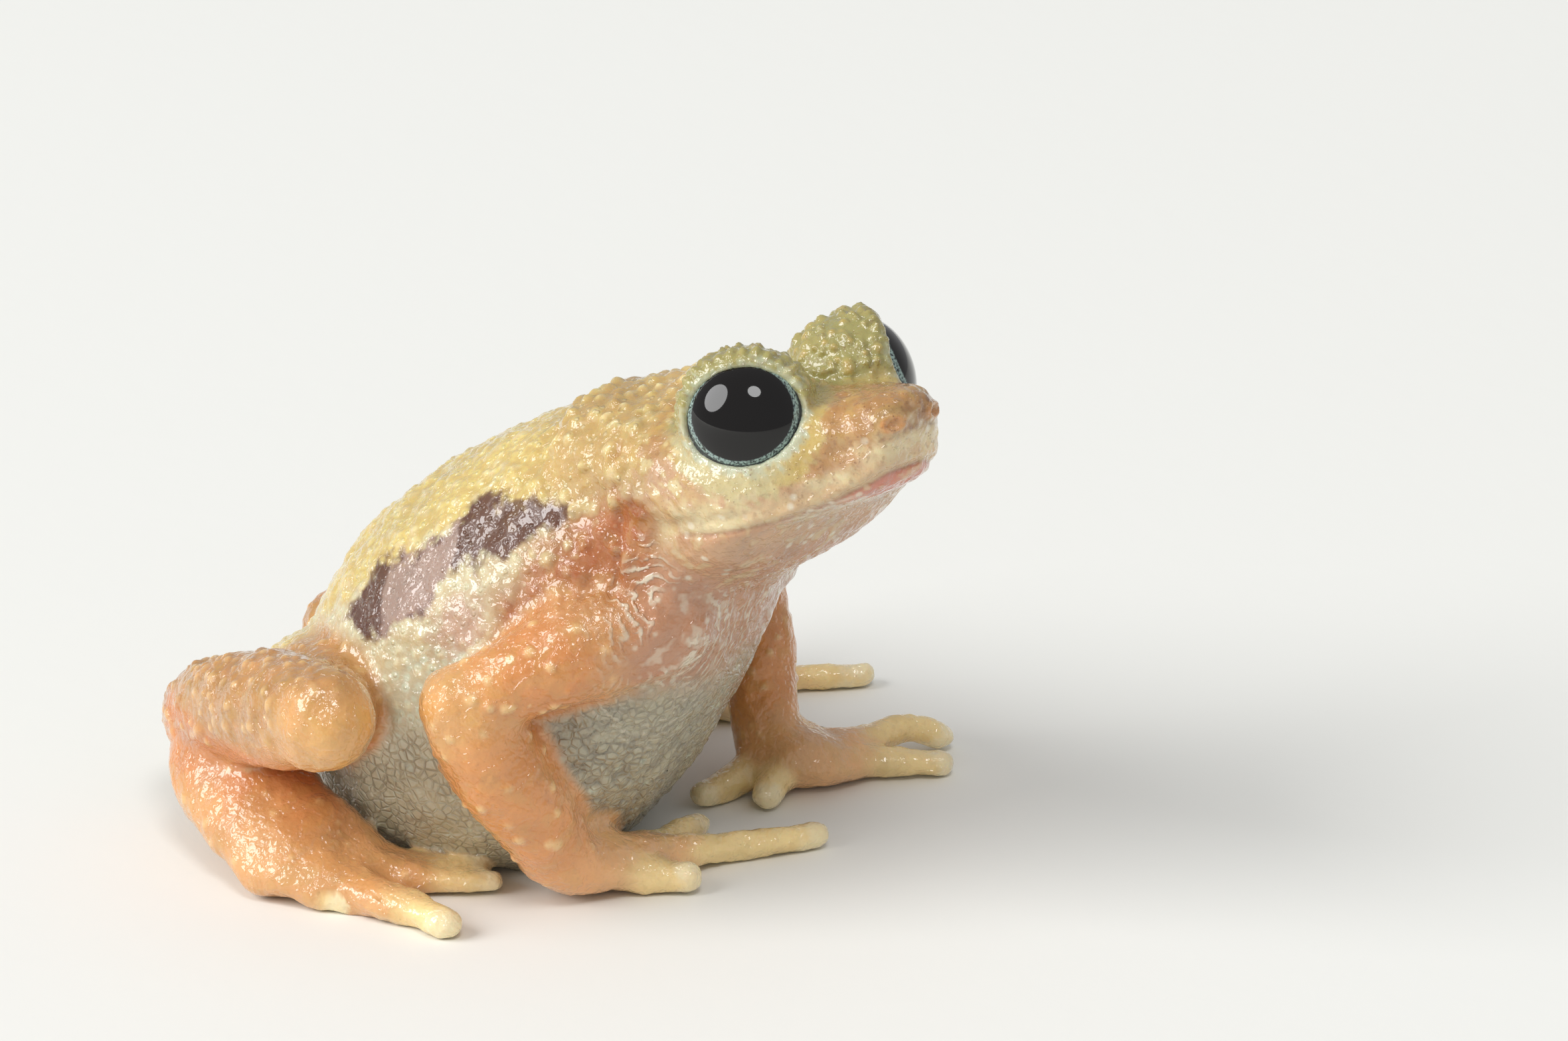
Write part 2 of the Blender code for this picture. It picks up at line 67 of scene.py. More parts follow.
# Torso, from the rump to the neck: y and z of the back, y and z of the belly, and half width. Then the share
# of a section's height where it is widest, and the squareness of its upper and lower halves.
TORSO = [
    (5.4, 3.9, 5.3, 2.7, 0.8),
    (5.1, 5.3, 4.7, 1.4, 2.3),
    (4.3, 7.3, 3.5, 0.1, 3.8),
    (2.8, 9.2, 1.9, -0.7, 4.9),
    (0.6, 11.0, -0.5, -0.9, 5.5),
    (-1.6, 12.35, -3.5, -0.3, 5.5),
    (-3.7, 13.25, -5.7, 2.2, 5.0),
    (-5.1, 13.85, -7.4, 5.4, 4.3),
    (-6.0, 14.4, -8.6, 8.7, 4.05),
    (-6.8, 14.7, -9.3, 10.3, 3.9),
]
TORSO_WIDEST_LEVEL = 0.42
TORSO_SQUARENESS = (2.1, 2.3)

# Head: its place and how it is turned. Its own axes are forward, left and up, from between the eyes.
HEAD_PLACE = (-0.56, -10.2, 14.7)
HEAD_TURN = 14.0
HEAD_LIFT = 20.0
HEAD_ROLL = 2.5

# Upper jaw and skull: forward at the lip, left, forward at the crown, crown level, lip level, half width.
SKULL = [
    (-6.5, -0.9, -6.5, 1.3, -2.2, 3.1),
    (-4.0, -0.3, -4.0, 0.9, -2.6, 3.85),
    (-1.9, 0.0, -1.9, 0.52, -2.75, 4.3),
    (-0.9, 0.0, -0.7, 0.4, -2.85, 4.2),
    (0.0, 0.0, 0.4, 0.28, -2.88, 3.85),
    (1.0, 0.0, 1.5, 0.08, -2.82, 3.05),
    (1.85, 0.0, 2.4, 0.0, -2.68, 2.3),
    (2.4, 0.0, 3.0, -0.05, -2.52, 1.85),
    (2.85, 0.0, 3.53, -0.12, -2.38, 1.55),
    (3.15, 0.0, 3.85, -0.3, -2.22, 1.3),
    (3.32, 0.0, 3.95, -0.5, -2.06, 1.08),
    (3.42, 0.0, 3.98, -0.8, -1.85, 0.8),
]
SKULL_SQUARENESS = (2.5, 3.0)

# Lower jaw and throat: forward, left, upper level, lower level, half width.
JAW = [
    (-6.5, -0.9, -0.6, -5.4, 3.1),
    (-4.0, -0.3, -1.6, -5.3, 3.7),
    (-3.0, -0.1, -2.0, -4.9, 3.8),
    (-1.0, 0.0, -2.4, -4.25, 3.95),
    (0.3, 0.0, -2.58, -3.3, 3.45),
    (1.3, 0.0, -2.58, -2.98, 2.7),
    (2.2, 0.0, -2.35, -2.88, 1.95),
    (2.8, 0.0, -2.15, -2.7, 1.45),
    (3.15, 0.0, -2.05, -2.45, 1.0),
]
JAW_SQUARENESS = (3.0, 2.2)
MOUTH_CORNER = -1.9

# Eyes, lids with their rims, and nostrils, in the head's axes. The iris is an oval ring a little above the
# middle of the eye.
EYE_RADIUS = 1.68
EYE_DEPTH = 1.27
EYE_SIDE = 2.5
EYE_AHEAD = 0.05
EYE_TURN = 38.0
EYE_TILT = 6.0
LID_THICKNESS = 0.24
LID_SET_BACK = 0.3
OPENING = (1.6, 1.39)
RIM_SET_BACK = 0.1
RIM_MARGIN = 0.06
RIM_SWELL = 0.12
SOCKET_DEPTH = 0.9
IRIS_OVAL = (1.075, 0.982)
IRIS_RISE = 0.12
NOSTRIL = (3.82, 1.0, -0.95)

# Cream patches of the snout and the upper lip: forward and up of the middle, half length and half height.
SNOUT_PATCHES = [(3.85, -1.5, 1.0, 0.45), (2.2, -2.05, 0.5, 0.2)]

# Arms, from the shoulder over the elbow to the wrist: x, y, z, half width, half thickness. The elbow is the
# station where the upper arm ends and the forearm starts.
ARMS = {
    RIGHT: [
        (-2.8, -6.9, 8.4, 1.5, 1.6),
        (-4.6, -5.5, 7.9, 1.4, 1.5),
        (-5.9, -3.8, 7.0, 1.2, 1.2),
        (-6.65, -2.65, 6.35, 1.2, 1.2),
        (-6.1, -3.4, 4.6, 1.4, 1.35),
        (-5.2, -4.1, 2.8, 1.25, 1.2),
        (-4.3, -4.5, 1.3, 1.1, 1.05),
    ],
    LEFT: [
        (2.9, -6.7, 8.3, 1.45, 1.55),
        (4.8, -5.8, 7.8, 1.4, 1.5),
        (6.5, -4.6, 6.8, 1.25, 1.3),
        (7.2, -3.9, 5.9, 1.2, 1.2),
        (7.1, -4.4, 4.6, 1.25, 1.25),
        (6.4, -5.2, 2.9, 1.05, 1.05),
        (5.6, -5.8, 1.4, 0.95, 0.95),
    ],
}
ELBOW = 3

# Limbs made of two tubes, along which shares of the way run on from the first to the second.
TWO_PART_LIMBS = ("arm", "leg", "foot")

# Palms, from the wrist to the web between the fingers, and the fingers from the palm to their tips.
PALMS = {
    RIGHT: [
        (-4.2, -4.5, 1.2, 1.1, 1.05),
        (-3.2, -5.0, 0.9, 1.25, 0.9),
        (-2.25, -5.65, 0.6, 1.2, 0.6),
        (-1.5, -6.2, 0.4, 0.9, 0.38),
    ],
    LEFT: [
        (5.6, -5.8, 1.3, 0.95, 0.95),
        (5.9, -6.7, 0.95, 1.35, 0.9),
        (6.7, -7.6, 0.62, 1.2, 0.6),
        (7.4, -8.2, 0.42, 0.75, 0.38),
    ],
}
FINGERS = {
    RIGHT: [
        [(-3.1, -4.9, 0.7, 0.8, 0.65), (-1.8, -4.3, 0.48, 0.5, 0.46), (-0.7, -3.9, 0.36, 0.42, 0.38)],
        [(-2.6, -5.2, 0.7, 0.8, 0.65), (-0.6, -5.6, 0.46, 0.48, 0.44), (1.2, -5.9, 0.38, 0.42, 0.4)],
        [
            (-2.7, -5.4, 0.8, 0.85, 0.7),
            (-0.9, -6.6, 0.55, 0.6, 0.5),
            (0.6, -7.95, 0.42, 0.42, 0.42),
            (2.05, -9.2, 0.38, 0.43, 0.4),
        ],
        [
            (-3.3, -5.0, 0.8, 0.8, 0.75),
            (-2.9, -6.1, 0.6, 0.6, 0.55),
            (-2.5, -6.95, 0.46, 0.46, 0.44),
            (-2.35, -7.4, 0.48, 0.5, 0.48),
        ],
    ],
    LEFT: [
        [(5.5, -6.1, 0.8, 0.75, 0.65), (4.2, -5.5, 0.52, 0.5, 0.48), (3.1, -5.1, 0.4, 0.46, 0.42)],
        [(5.5, -6.6, 0.8, 0.75, 0.65), (4.5, -6.6, 0.55, 0.5, 0.5), (3.7, -6.75, 0.42, 0.48, 0.44)],
        [(6.2, -7.2, 0.8, 0.8, 0.6), (7.3, -8.7, 0.5, 0.52, 0.46), (8.2, -10.1, 0.4, 0.46, 0.42)],
        [
            (6.4, -7.1, 0.85, 0.8, 0.6),
            (8.0, -8.0, 0.85, 0.5, 0.46),
            (9.2, -8.75, 0.85, 0.42, 0.42),
            (9.8, -9.3, 0.45, 0.46, 0.42),
        ],
    ],
}

# Hind legs, written for the left side: x, y, z, half width, half thickness.
THIGH = [
    (2.4, 4.2, 4.2, 1.7, 1.6),
    (4.9, 2.6, 4.8, 1.6, 1.5),
    (6.9, 1.4, 5.3, 1.3, 1.3),
    (8.4, 0.7, 5.6, 1.05, 1.05),
]
KNEE = (8.6, 0.4, 6.1, 1.35, 1.45)
HEELS = {RIGHT: (3.6, 7.4, 3.05, 1.2, 1.3), LEFT: (3.7, 7.05, 2.9, 1.2, 1.3)}

# Calf between the knee and the heel: share of the way, bulge outward, rise, half width, half thickness.
CALF = [(0.26, 0.08, 0.2, 1.5, 1.65), (0.6, 0.18, 0.3, 1.45, 1.6), (0.85, 0.25, 0.2, 1.3, 1.45)]

# Long part of each foot, from the heel to the sole.
TARSI = {
    RIGHT: [
        (-4.1, 7.2, 2.6, 0.9, 0.9),
        (-5.0, 6.1, 2.3, 1.5, 1.25),
        (-6.1, 4.2, 1.8, 1.8, 1.05),
        (-6.9, 2.3, 1.1, 2.0, 0.9),
    ],
    LEFT: [
        (4.2, 6.5, 2.4, 0.8, 0.8),
        (5.2, 5.7, 2.2, 1.4, 1.2),
        (6.8, 3.9, 1.7, 1.7, 1.05),
        (8.2, 1.9, 1.1, 1.9, 0.9),
    ],
}
TARSUS_LEAN = 0.5

# Soles with their webs, and the toes.
SOLES = {
    RIGHT: [
        (-6.75, 2.5, 1.05, 1.9, 0.9),
        (-6.6, 1.3, 0.85, 1.8, 0.75),
        (-6.4, 0.3, 0.5, 1.6, 0.45),
        (-6.2, -0.4, 0.3, 1.3, 0.26),
    ],
    LEFT: [
        (8.1, 2.1, 1.05, 1.8, 0.85),
        (8.5, 0.8, 0.8, 1.75, 0.7),
        (9.0, -0.4, 0.48, 1.6, 0.42),
        (9.5, -1.3, 0.3, 1.3, 0.26),
    ],
}
SOLE_LEAN = 0.3
TOES = {
    RIGHT: [
        [(-6.1, 1.5, 0.8, 0.6, 0.55), (-5.0, 0.2, 0.45, 0.42, 0.4), (-4.3, -0.9, 0.34, 0.36, 0.34)],
        [(-6.2, 1.3, 0.8, 0.7, 0.6), (-5.2, -0.4, 0.46, 0.46, 0.42), (-4.4, -1.9, 0.36, 0.4, 0.36)],
        [(-6.4, 1.2, 0.8, 0.7, 0.6), (-5.7, -0.9, 0.46, 0.46, 0.42), (-4.8, -2.6, 0.36, 0.42, 0.36)],
        [
            (-7.2, 1.4, 0.75, 0.85, 0.62),
            (-7.45, -0.5, 0.5, 0.72, 0.52),
            (-7.65, -1.7, 0.44, 0.6, 0.46),
            (-8.0, -2.95, 0.4, 0.46, 0.4),
        ],
        [(-7.4, 1.9, 0.6, 0.6, 0.5), (-7.65, 1.2, 0.42, 0.5, 0.42), (-7.85, 0.6, 0.36, 0.42, 0.36)],
    ],
    LEFT: [
        [(8.0, 1.3, 0.8, 0.6, 0.55), (7.9, -0.1, 0.45, 0.42, 0.4), (7.8, -1.0, 0.34, 0.36, 0.34)],
        [(8.2, 1.1, 0.8, 0.7, 0.6), (8.1, -0.6, 0.46, 0.46, 0.42), (8.0, -2.1, 0.36, 0.4, 0.36)],
        [(8.5, 1.0, 0.8, 0.7, 0.6), (8.8, -1.1, 0.46, 0.46, 0.42), (8.9, -3.1, 0.36, 0.42, 0.36)],
        [
            (8.9, 0.8, 0.8, 0.8, 0.6),
            (10.3, -1.3, 0.5, 0.55, 0.46),
            (11.7, -3.3, 0.4, 0.46, 0.4),
            (13.0, -5.2, 0.38, 0.42, 0.38),
        ],
        [(9.0, 1.1, 0.7, 0.6, 0.5), (10.8, 0.0, 0.4, 0.44, 0.38), (12.4, -1.2, 0.36, 0.4, 0.36)],
    ],
}

# Sections round a trunk, a limb and a digit, and the steps of a rounded end in degrees.
TRUNK_SIDES = 96
LIMB_SIDES = 40
DIGIT_SIDES = 24
DOME_STEPS = (15.0, 30.0, 45.0, 58.0, 70.0, 80.0)

# Dark stripe on the flank: station number, lower edge and upper edge as levels, -1 belly to 1 back.
STRIPE = [
    (3.2, 0.55, 0.58),
    (3.45, 0.42, 0.72),
    (3.8, 0.41, 0.73),
    (4.3, 0.45, 0.71),
    (4.65, 0.6, 0.79),
    (5.0, 0.61, 0.8),
    (5.45, 0.55, 0.75),
    (5.8, 0.59, 0.72),
    (6.25, 0.61, 0.63),
]

# Blotch and spot below the stripe: depth, station number, level, half length and half width.
SIDE_SPOTS = [
    ("blotch", 0.15, 4.8, 0.34, 0.33, 0.13),
    ("spot", 0.1, 3.79, 0.05, 0.12, 0.12),
]

# Level below which the flank turns to the grey-green of the belly, by station number.
BELLY_LIMIT = [
    (0.0, -0.3),
    (3.0, -0.15),
    (3.7, -0.06),
    (4.4, 0.1),
    (4.8, 0.12),
    (5.5, -0.05),
    (6.3, -0.34),
    (6.95, -0.54),
    (7.35, -0.93),
    (8.0, -1.4),
]

# The skin's mesh: its triangles, how far back on the head it may be thinned, and its rounds of relaxing.
TRIANGLE_BUDGET = 194000
THINNED_BEHIND = -3.6
FEWEST_POINTS = 1000
EVEN_ROUNDS = 9
SOFT_ROUNDS = 34

# Zones of the trunk, each from where it starts to where it is full, as station numbers or levels.
CREAM_BELOW = (0.76, 0.6)
NAPE = (4.9, 6.0)
NAPE_ABOVE = (-0.2, 0.2)
SHOULDER = (4.9, 5.5)
BELOW_STRIPE = (0.55, 0.3)
AXILLA = (5.5, 6.4)
CHEST = (6.6, 7.2)

# Zones of the head, in its own axes: where the neck ends and the lips, the jaw and the cheek begin.
NECK_TO_HEAD = (-3.4, -2.4)
JAW_LEVEL = (-5.6, -4.6)
CHEEK_ABOVE_LIP = (0.3, 0.8)

# Knee and leg: the middle of the kneecap from the knee's station, its reach, and the top of the shank.
KNEECAP = (0.0, -0.6, -0.5)
KNEECAP_REACH = (2.8, 1.0)
SHANK_TOP = (-1.3, 0.2)

# Where a limb grows out of the trunk, as shares of its way, and how sharply limb parts meet in colour.
LIMB_ROOTS = {"arm": (0.23, 0.07), "leg": (0.14, 0.02)}
LIMB_MEETING = 6.0

# Cones along the upper lid's crest: the first one and the step between them, in degrees round the eye.
FIRST_CONE = 22.0
CONE_STEP = 11.3
CREST_RADIUS = 1.76
CREST_DEPTH = 0.47

# Shares of the way along a finger and a toe where the yellow of its digit starts and is full.
DIGIT_YELLOW = {"finger": (0.15, 0.5), "toe": (0.4, 0.85)}

# Warts by where they grow: spacing, radius, share of the places that have one, seed and height.
WARTS = {
    "lid": (0.33, 0.2, 0.97, 11, 0.15),
    "cheek": (0.42, 0.22, 0.6, 15, 0.035),
    "behind_eye": (0.5, 0.27, 0.8, 17, 0.06),
    "nape": (0.5, 0.28, 0.9, 21, 0.15),
    "back": (0.36, 0.21, 0.9, 31, 0.06),
    "belly": (0.5, 0.26, 0.85, 35, 0.04),
    "arm": (0.58, 0.2, 0.85, 41, 0.09),
    "shank": (0.44, 0.21, 0.9, 43, 0.09),
    "foot": (0.6, 0.2, 0.7, 45, 0.05),
}
WRINKLE_SPACING = 0.2

# Camera of the photograph: where it stands, seen from the middle of the belly's rest, and its scale there.
IMAGE = (2361, 1568)
CAMERA_AZIMUTH = -63.0
CAMERA_ELEVATION = 22.0
CAMERA_DISTANCE = 0.25
PIXELS_PER_METRE = 53000.0
ORIGIN_PIXEL = (745.0, 1225.0)
SENSOR = 36.0
NEAREST_SEEN = 0.01

# Lights: direction from the toad and width of each, their distance, the point they look at, and the room's.
KEY_LIGHT = ((-0.594, 0.561, 0.575), 0.92)
TOP_LIGHT = ((-0.39, -0.32, 0.83), 0.42)
LIGHT_DISTANCE = 1.3
LIGHT_TARGET = (0.0, 0.0, 0.008)
ROOM_LIGHT = 0.47
ROOM_COLOUR = "#f2f3f5"


def hex_colour(text):
    """An sRGB hex value as the linear red, green, blue and alpha that shaders take."""
    values = [int(text[i : i + 2], 16) / 255 for i in (1, 3, 5)]
    return tuple(v / 12.92 if v <= 0.04045 else ((v + 0.055) / 1.055) ** 2.4 for v in values) + (1.0,)


def unit(vectors):
    """Vectors at length 1."""
    return vectors / np.linalg.norm(vectors, axis=-1, keepdims=True)


def eased(value, start, end):
    """0 before start and 1 after end, by 3u squared less 2u cubed between them."""
    u = np.clip((value - start) / (end - start), 0.0, 1.0)
    return u * u * (3 - 2 * u)


def bell(distance, width):
    """1 at no distance, falling as exp of minus the squared distance in widths."""
    return np.exp(-((distance / width) ** 2))


def smooth_rows(stations, count):
    """Rows read at even steps along a cubic curve through the stations, by their first three values."""
    rows = np.array(stations, float)
    steps = np.linalg.norm(np.diff(rows[:, :3], axis=0), axis=1)
    at = np.concatenate([[0.0], np.cumsum(steps)])
    slope = np.gradient(rows, at, axis=0)
    wanted = np.linspace(0.0, at[-1], count)
    i = np.clip(np.searchsorted(at, wanted, side="right") - 1, 0, len(at) - 2)
    span = (at[i + 1] - at[i])[:, None]
    u = (wanted - at[i])[:, None] / span
    start = (1 + 2 * u) * (1 - u) ** 2 * rows[i] + u * (1 - u) ** 2 * span * slope[i]
    end = u * u * (3 - 2 * u) * rows[i + 1] + u * u * (u - 1) * span * slope[i + 1]
    return start + end


def oval(sides, squareness):
    """Unit closed curve: the cosine and sine of even angles, each to the power 2 over the squareness."""
    angle = np.linspace(0.0, 2 * np.pi, sides, endpoint=False)
    across, up = np.cos(angle), np.sin(angle)
    power = np.where(up >= 0, 2 / squareness[0], 2 / squareness[1])
    return np.sign(across) * np.abs(across) ** power, np.sign(up) * np.abs(up) ** power


def tube(stations, upward=UP, count=24, sides=LIMB_SIDES):
    """Grid of ovals square to a smooth path, with ends that shrink by the cosine of each dome step."""
    rows = smooth_rows(stations, count)
    step = np.radians(DOME_STEPS)[:, None]
    ends = []
    for edge, inner in ((rows[0], rows[1]), (rows[-1], rows[-2])):
        out = unit(edge[:3] - inner[:3]) * min(edge[3], edge[4])
        ends.append(np.concatenate([edge[:3] + np.sin(step) * out, np.cos(step) * edge[3:5]], axis=1))
    rows = np.concatenate([ends[0][::-1], rows, ends[1]])
    along = unit(np.gradient(rows[:, :3], axis=0))
    side = unit(np.cross(along, np.array(upward, float)))
    up = np.cross(side, along)
    across, rise = oval(sides, (2.0, 2.0))
    width = (rows[:, 3:4] * across)[:, :, None] * side[:, None, :]
    return rows[:, None, :3] + width + (rows[:, 4:5] * rise)[:, :, None] * up[:, None, :]


def closed_grid(rings):
    """Points and triangles of a grid whose rings join round, with a fan over each end ring."""
    rings = np.asarray(rings, float)
    count, sides = rings.shape[:2]
    points = np.concatenate([rings.reshape(-1, 3), rings[[0, -1]].mean(axis=1)])
    at = np.arange(count * sides).reshape(count, sides)
    after = np.roll(at, -1, axis=1)
    near, near_after, far, far_after = at[:-1], after[:-1], at[1:], after[1:]
    walls = [np.stack([near, near_after, far_after], -1), np.stack([near, far_after, far], -1)]
    first = np.stack([after[0], at[0], np.full(sides, count * sides)], -1)
    last = np.stack([at[-1], after[-1], np.full(sides, count * sides + 1)], -1)
    return points, np.concatenate([*(wall.reshape(-1, 3) for wall in walls), first, last])


def mesh_object(name, points, faces, scale=1.0):
    """A linked object of triangles or quads, its points scaled, with its mesh named alike."""
    mesh = bpy.data.meshes.new(name)
    corners = faces.shape[1]
    mesh.vertices.add(len(points))
    mesh.vertices.foreach_set("co", (points * scale).astype(np.float32).ravel())
    mesh.loops.add(faces.size)
    mesh.loops.foreach_set("vertex_index", faces.astype(np.int32).ravel())
    mesh.polygons.add(len(faces))
    mesh.polygons.foreach_set("loop_start", np.arange(0, faces.size, corners, dtype=np.int32))
    mesh.update(calc_edges=True)
    mesh.validate()
    mesh.shade_smooth()
    obj = bpy.data.objects.new(name, mesh)
    bpy.context.scene.collection.objects.link(obj)
    return obj


def mesh_arrays(mesh):
    """Points and triangles of a mesh."""
    points = np.empty(len(mesh.vertices) * 3, np.float32)
    mesh.vertices.foreach_get("co", points)
    mesh.calc_loop_triangles()
    faces = np.empty(len(mesh.loop_triangles) * 3, np.int32)
    mesh.loop_triangles.foreach_get("vertices", faces)
    return points.reshape(-1, 3).astype(float), faces.reshape(-1, 3)


def modified(obj, kind, **settings):
    """Gives the object one modifier with these settings, applies it and leaves none."""
    modifier = obj.modifiers.new(kind.title(), kind)
    for key, value in settings.items():
        setattr(modifier, key, value)
    graph = bpy.context.evaluated_depsgraph_get()
    mesh = bpy.data.meshes.new_from_object(obj.evaluated_get(graph))
    obj.modifiers.clear()
    old = obj.data
    obj.data = mesh
    bpy.data.meshes.remove(old)


def head_axes():
    """Forward, left and up of the head, as unit vectors of the body's frame."""
    turn, lift, roll = (math.radians(angle) for angle in (HEAD_TURN, HEAD_LIFT, HEAD_ROLL))
    ahead = [-math.sin(turn) * math.cos(lift), -math.cos(turn) * math.cos(lift), math.sin(lift)]
    forward = np.array(ahead)
    level = np.array([math.cos(turn), -math.sin(turn), 0.0])
    left = math.cos(roll) * level - math.sin(roll) * np.cross(forward, level)
    return np.array([forward, left, np.cross(forward, left)])


def in_head(points):
    """Head positions, forward, left and up, as positions of the body's frame."""
    return np.array(HEAD_PLACE) + np.asarray(points, float) @ head_axes()


def head_place(points):
    """Positions of the body's frame as forward, left and up of the head."""
    return (points - np.array(HEAD_PLACE)) @ head_axes().T


def eye_axes(side):
    """Two axes across the eye and the axis it looks along, in the body's frame."""
    turn, tilt = math.radians(EYE_TURN), math.radians(EYE_TILT)
    outward = side * math.cos(turn) * math.cos(tilt)
    look = np.array([math.sin(turn) * math.cos(tilt), outward, math.sin(tilt)])
    along = unit(np.cross(UP, look))
    return np.array([along, np.cross(look, along), look]) @ head_axes()


def eye_place(points, side):
    """Positions as along, up and out of an eye's own axes, from its centre."""
    return (points - in_head((EYE_AHEAD, side * EYE_SIDE, 0.0))) @ eye_axes(side).T


def revolved(radius, depth, centre, axes, sides):
    """Rings of the given radii and depths round the last of three axes."""
    angle = np.linspace(0.0, 2 * np.pi, sides, endpoint=False)
    across = radius[:, None, None] * (
        np.cos(angle)[None, :, None] * axes[0] + np.sin(angle)[None, :, None] * axes[1]
    )
    return centre + across + depth[:, None, None] * axes[2]


def torso_rings():
    """Superellipse sections of the trunk, square to a curve through the middles of the back and belly."""
    rows = []
    for back_y, back_z, belly_y, belly_z, width in TORSO:
        middle = ((back_y + belly_y) / 2, (back_z + belly_z) / 2)
        rows.append((0.0, *middle, (back_y - belly_y) / 2, (back_z - belly_z) / 2, width))
    rows = smooth_rows(rows, 90)[:, :, None]
    across, rise = oval(TRUNK_SIDES, TORSO_SQUARENESS)
    half = np.hypot(rows[:, 3], rows[:, 4])
    above, below = 2 - 2 * TORSO_WIDEST_LEVEL, 2 * TORSO_WIDEST_LEVEL
    level = rise * half * np.where(rise >= 0, above, below) - half * (1 - below)
    y, z = rows[:, 1] + level * rows[:, 3] / half, rows[:, 2] + level * rows[:, 4] / half
    return np.stack([across * rows[:, 5], y, z], axis=2)


def skull_rings():
    """Superellipse sections from the back of the head to the snout, leaning forward at the crown."""
    across, rise = oval(TRUNK_SIDES, SKULL_SQUARENESS)
    ahead, left, crown_ahead, crown, lip, width = smooth_rows(SKULL, 80).T[:, :, None]
    level = lip + 0.3 * (crown - lip)
    height = level + rise * np.where(rise >= 0, crown - level, level - lip)
    forward = ahead + (crown_ahead - ahead) * (height - lip) / (crown - lip)
    return in_head(np.stack([forward, left + across * width, height], axis=2))


def jaw_rings():
    """Superellipse sections of the lower jaw and throat."""
    across, rise = oval(TRUNK_SIDES, JAW_SQUARENESS)
    ahead, left, top, bottom, width = smooth_rows(JAW, 60).T[:, :, None]
    level = top - 0.25 * (top - bottom)
    height = level + rise * np.where(rise >= 0, top - level, level - bottom)
    return in_head(np.stack([ahead + 0 * height, left + across * width, height], axis=2))


def opening_share(place):
    """Distance from an eye's axis as a share of the oval opening's own radius in that direction."""
    return np.hypot(place[..., 0] / OPENING[0], place[..., 1] / OPENING[1])


def lid_rings(side):
    """Both lids: an ellipsoid round the eye's axis from its back to the lids' edge, then a rounded rim.

    The rim goes over into the oval opening, and its depth follows the eyeball's there, which is the eye's
    depth times the root of 1 less the squared share of the eye's radius.
    """
    turn = np.linspace(0.0, 2 * np.pi, 64, endpoint=False)
    opening = 1 / opening_share(np.stack([np.cos(turn), np.sin(turn)], axis=1))
    eye_level = EYE_DEPTH * np.sqrt(1 - (opening / EYE_RADIUS) ** 2)
    radius = EYE_RADIUS + LID_THICKNESS
    depth = radius + LID_SET_BACK
    rim = EYE_DEPTH * math.sqrt(1 - (OPENING[1] / EYE_RADIUS) ** 2) - RIM_SET_BACK
    edge = math.acos((rim + LID_SET_BACK) / depth)
    angle = np.linspace(math.pi * 0.97, edge, 36)[:, None]
    radii, depths = [radius * np.sin(angle) + 0 * turn], [depth * np.cos(angle) - LID_SET_BACK + 0 * turn]
    for rise in np.linspace(0.25, 1.0, 6) * math.pi / 2:
        share = 1 - math.cos(rise)
        radii.append([radius * math.sin(edge) * (1 - share) + (opening + RIM_MARGIN) * share])
        depths.append([rim * (1 - share) + eye_level * share + RIM_SWELL * math.sin(rise)])
    for share in (0.88, 0.45):
        radii.append([share * opening])
        depths.append([eye_level - 0.05])
    radii, depths = np.concatenate(radii), np.concatenate(depths)
    place = np.stack([radii * np.cos(turn), radii * np.sin(turn), depths], axis=2)
    return in_head((EYE_AHEAD, side * EYE_SIDE, 0.0)) + place @ eye_axes(side)


def shank_stations(side):
    """Stations from the knee to the heel, with the calf's between them bulged outward and up."""
    knee, heel = np.array(KNEE), np.array(HEELS[side])
    stations = [knee]
    for share, outward, rise, across, thick in CALF:
        x, y, z = (knee + share * (heel - knee))[:3]
        stations.append((x + outward, y, z + rise, across, thick))
    stations.append(heel)
    return [(side * x, *rest) for x, *rest in stations]


def limb_paths(side):
    """Stations of every part of one side's limbs, by what the part is."""
    return {
        "arm": [ARMS[side][: ELBOW + 1], ARMS[side][ELBOW:]],
        "palm": [PALMS[side]],
        "finger": FINGERS[side],
        "leg": [[(side * x, *rest) for x, *rest in THIGH], shank_stations(side)],
        "foot": [TARSI[side], SOLES[side]],
        "toe": TOES[side],
    }


def limb_rings(side):
    """Tubes of every part of one side's limbs."""
    paths = limb_paths(side)
    upper_arm, forearm = paths["arm"]
    tarsus, sole = paths["foot"]
    rings = [tube(upper_arm), tube(forearm, (0, -1, 0)), *(tube(leg) for leg in paths["leg"])]
    rings += [tube(tarsus, (side * TARSUS_LEAN, 0, 1)), tube(sole, (side * SOLE_LEAN, 0, 1))]
    rings += [tube(palm) for palm in paths["palm"]]
    rings += [tube(digit, sides=DIGIT_SIDES) for digit in paths["finger"] + paths["toe"]]
    return rings


def fused_skin(voxel):
    """All closed grids of flesh fused by one voxel remesh, in millimetres, as an object."""
    grids = [torso_rings(), skull_rings(), jaw_rings()]
    for side in (RIGHT, LEFT):
        grids += [lid_rings(side), *limb_rings(side)]
    points, faces, start = [], [], 0
    for grid in grids:
        some_points, some_faces = closed_grid(grid)
        points.append(some_points)
        faces.append(some_faces + start)
        start += len(some_points)
    obj = mesh_object("skin", np.concatenate(points), np.concatenate(faces))
    modified(obj, "REMESH", mode="VOXEL", voxel_size=voxel)
    return obj


def edges_of(faces):
    """The two ends of every edge, each edge once."""
    ends = np.concatenate([faces[:, [0, 1]], faces[:, [1, 2]], faces[:, [2, 0]]]).astype(np.int64)
    ends.sort(axis=1)
    code = np.unique(ends[:, 0] << 32 | ends[:, 1])
    return code >> 32, code & 0xFFFFFFFF


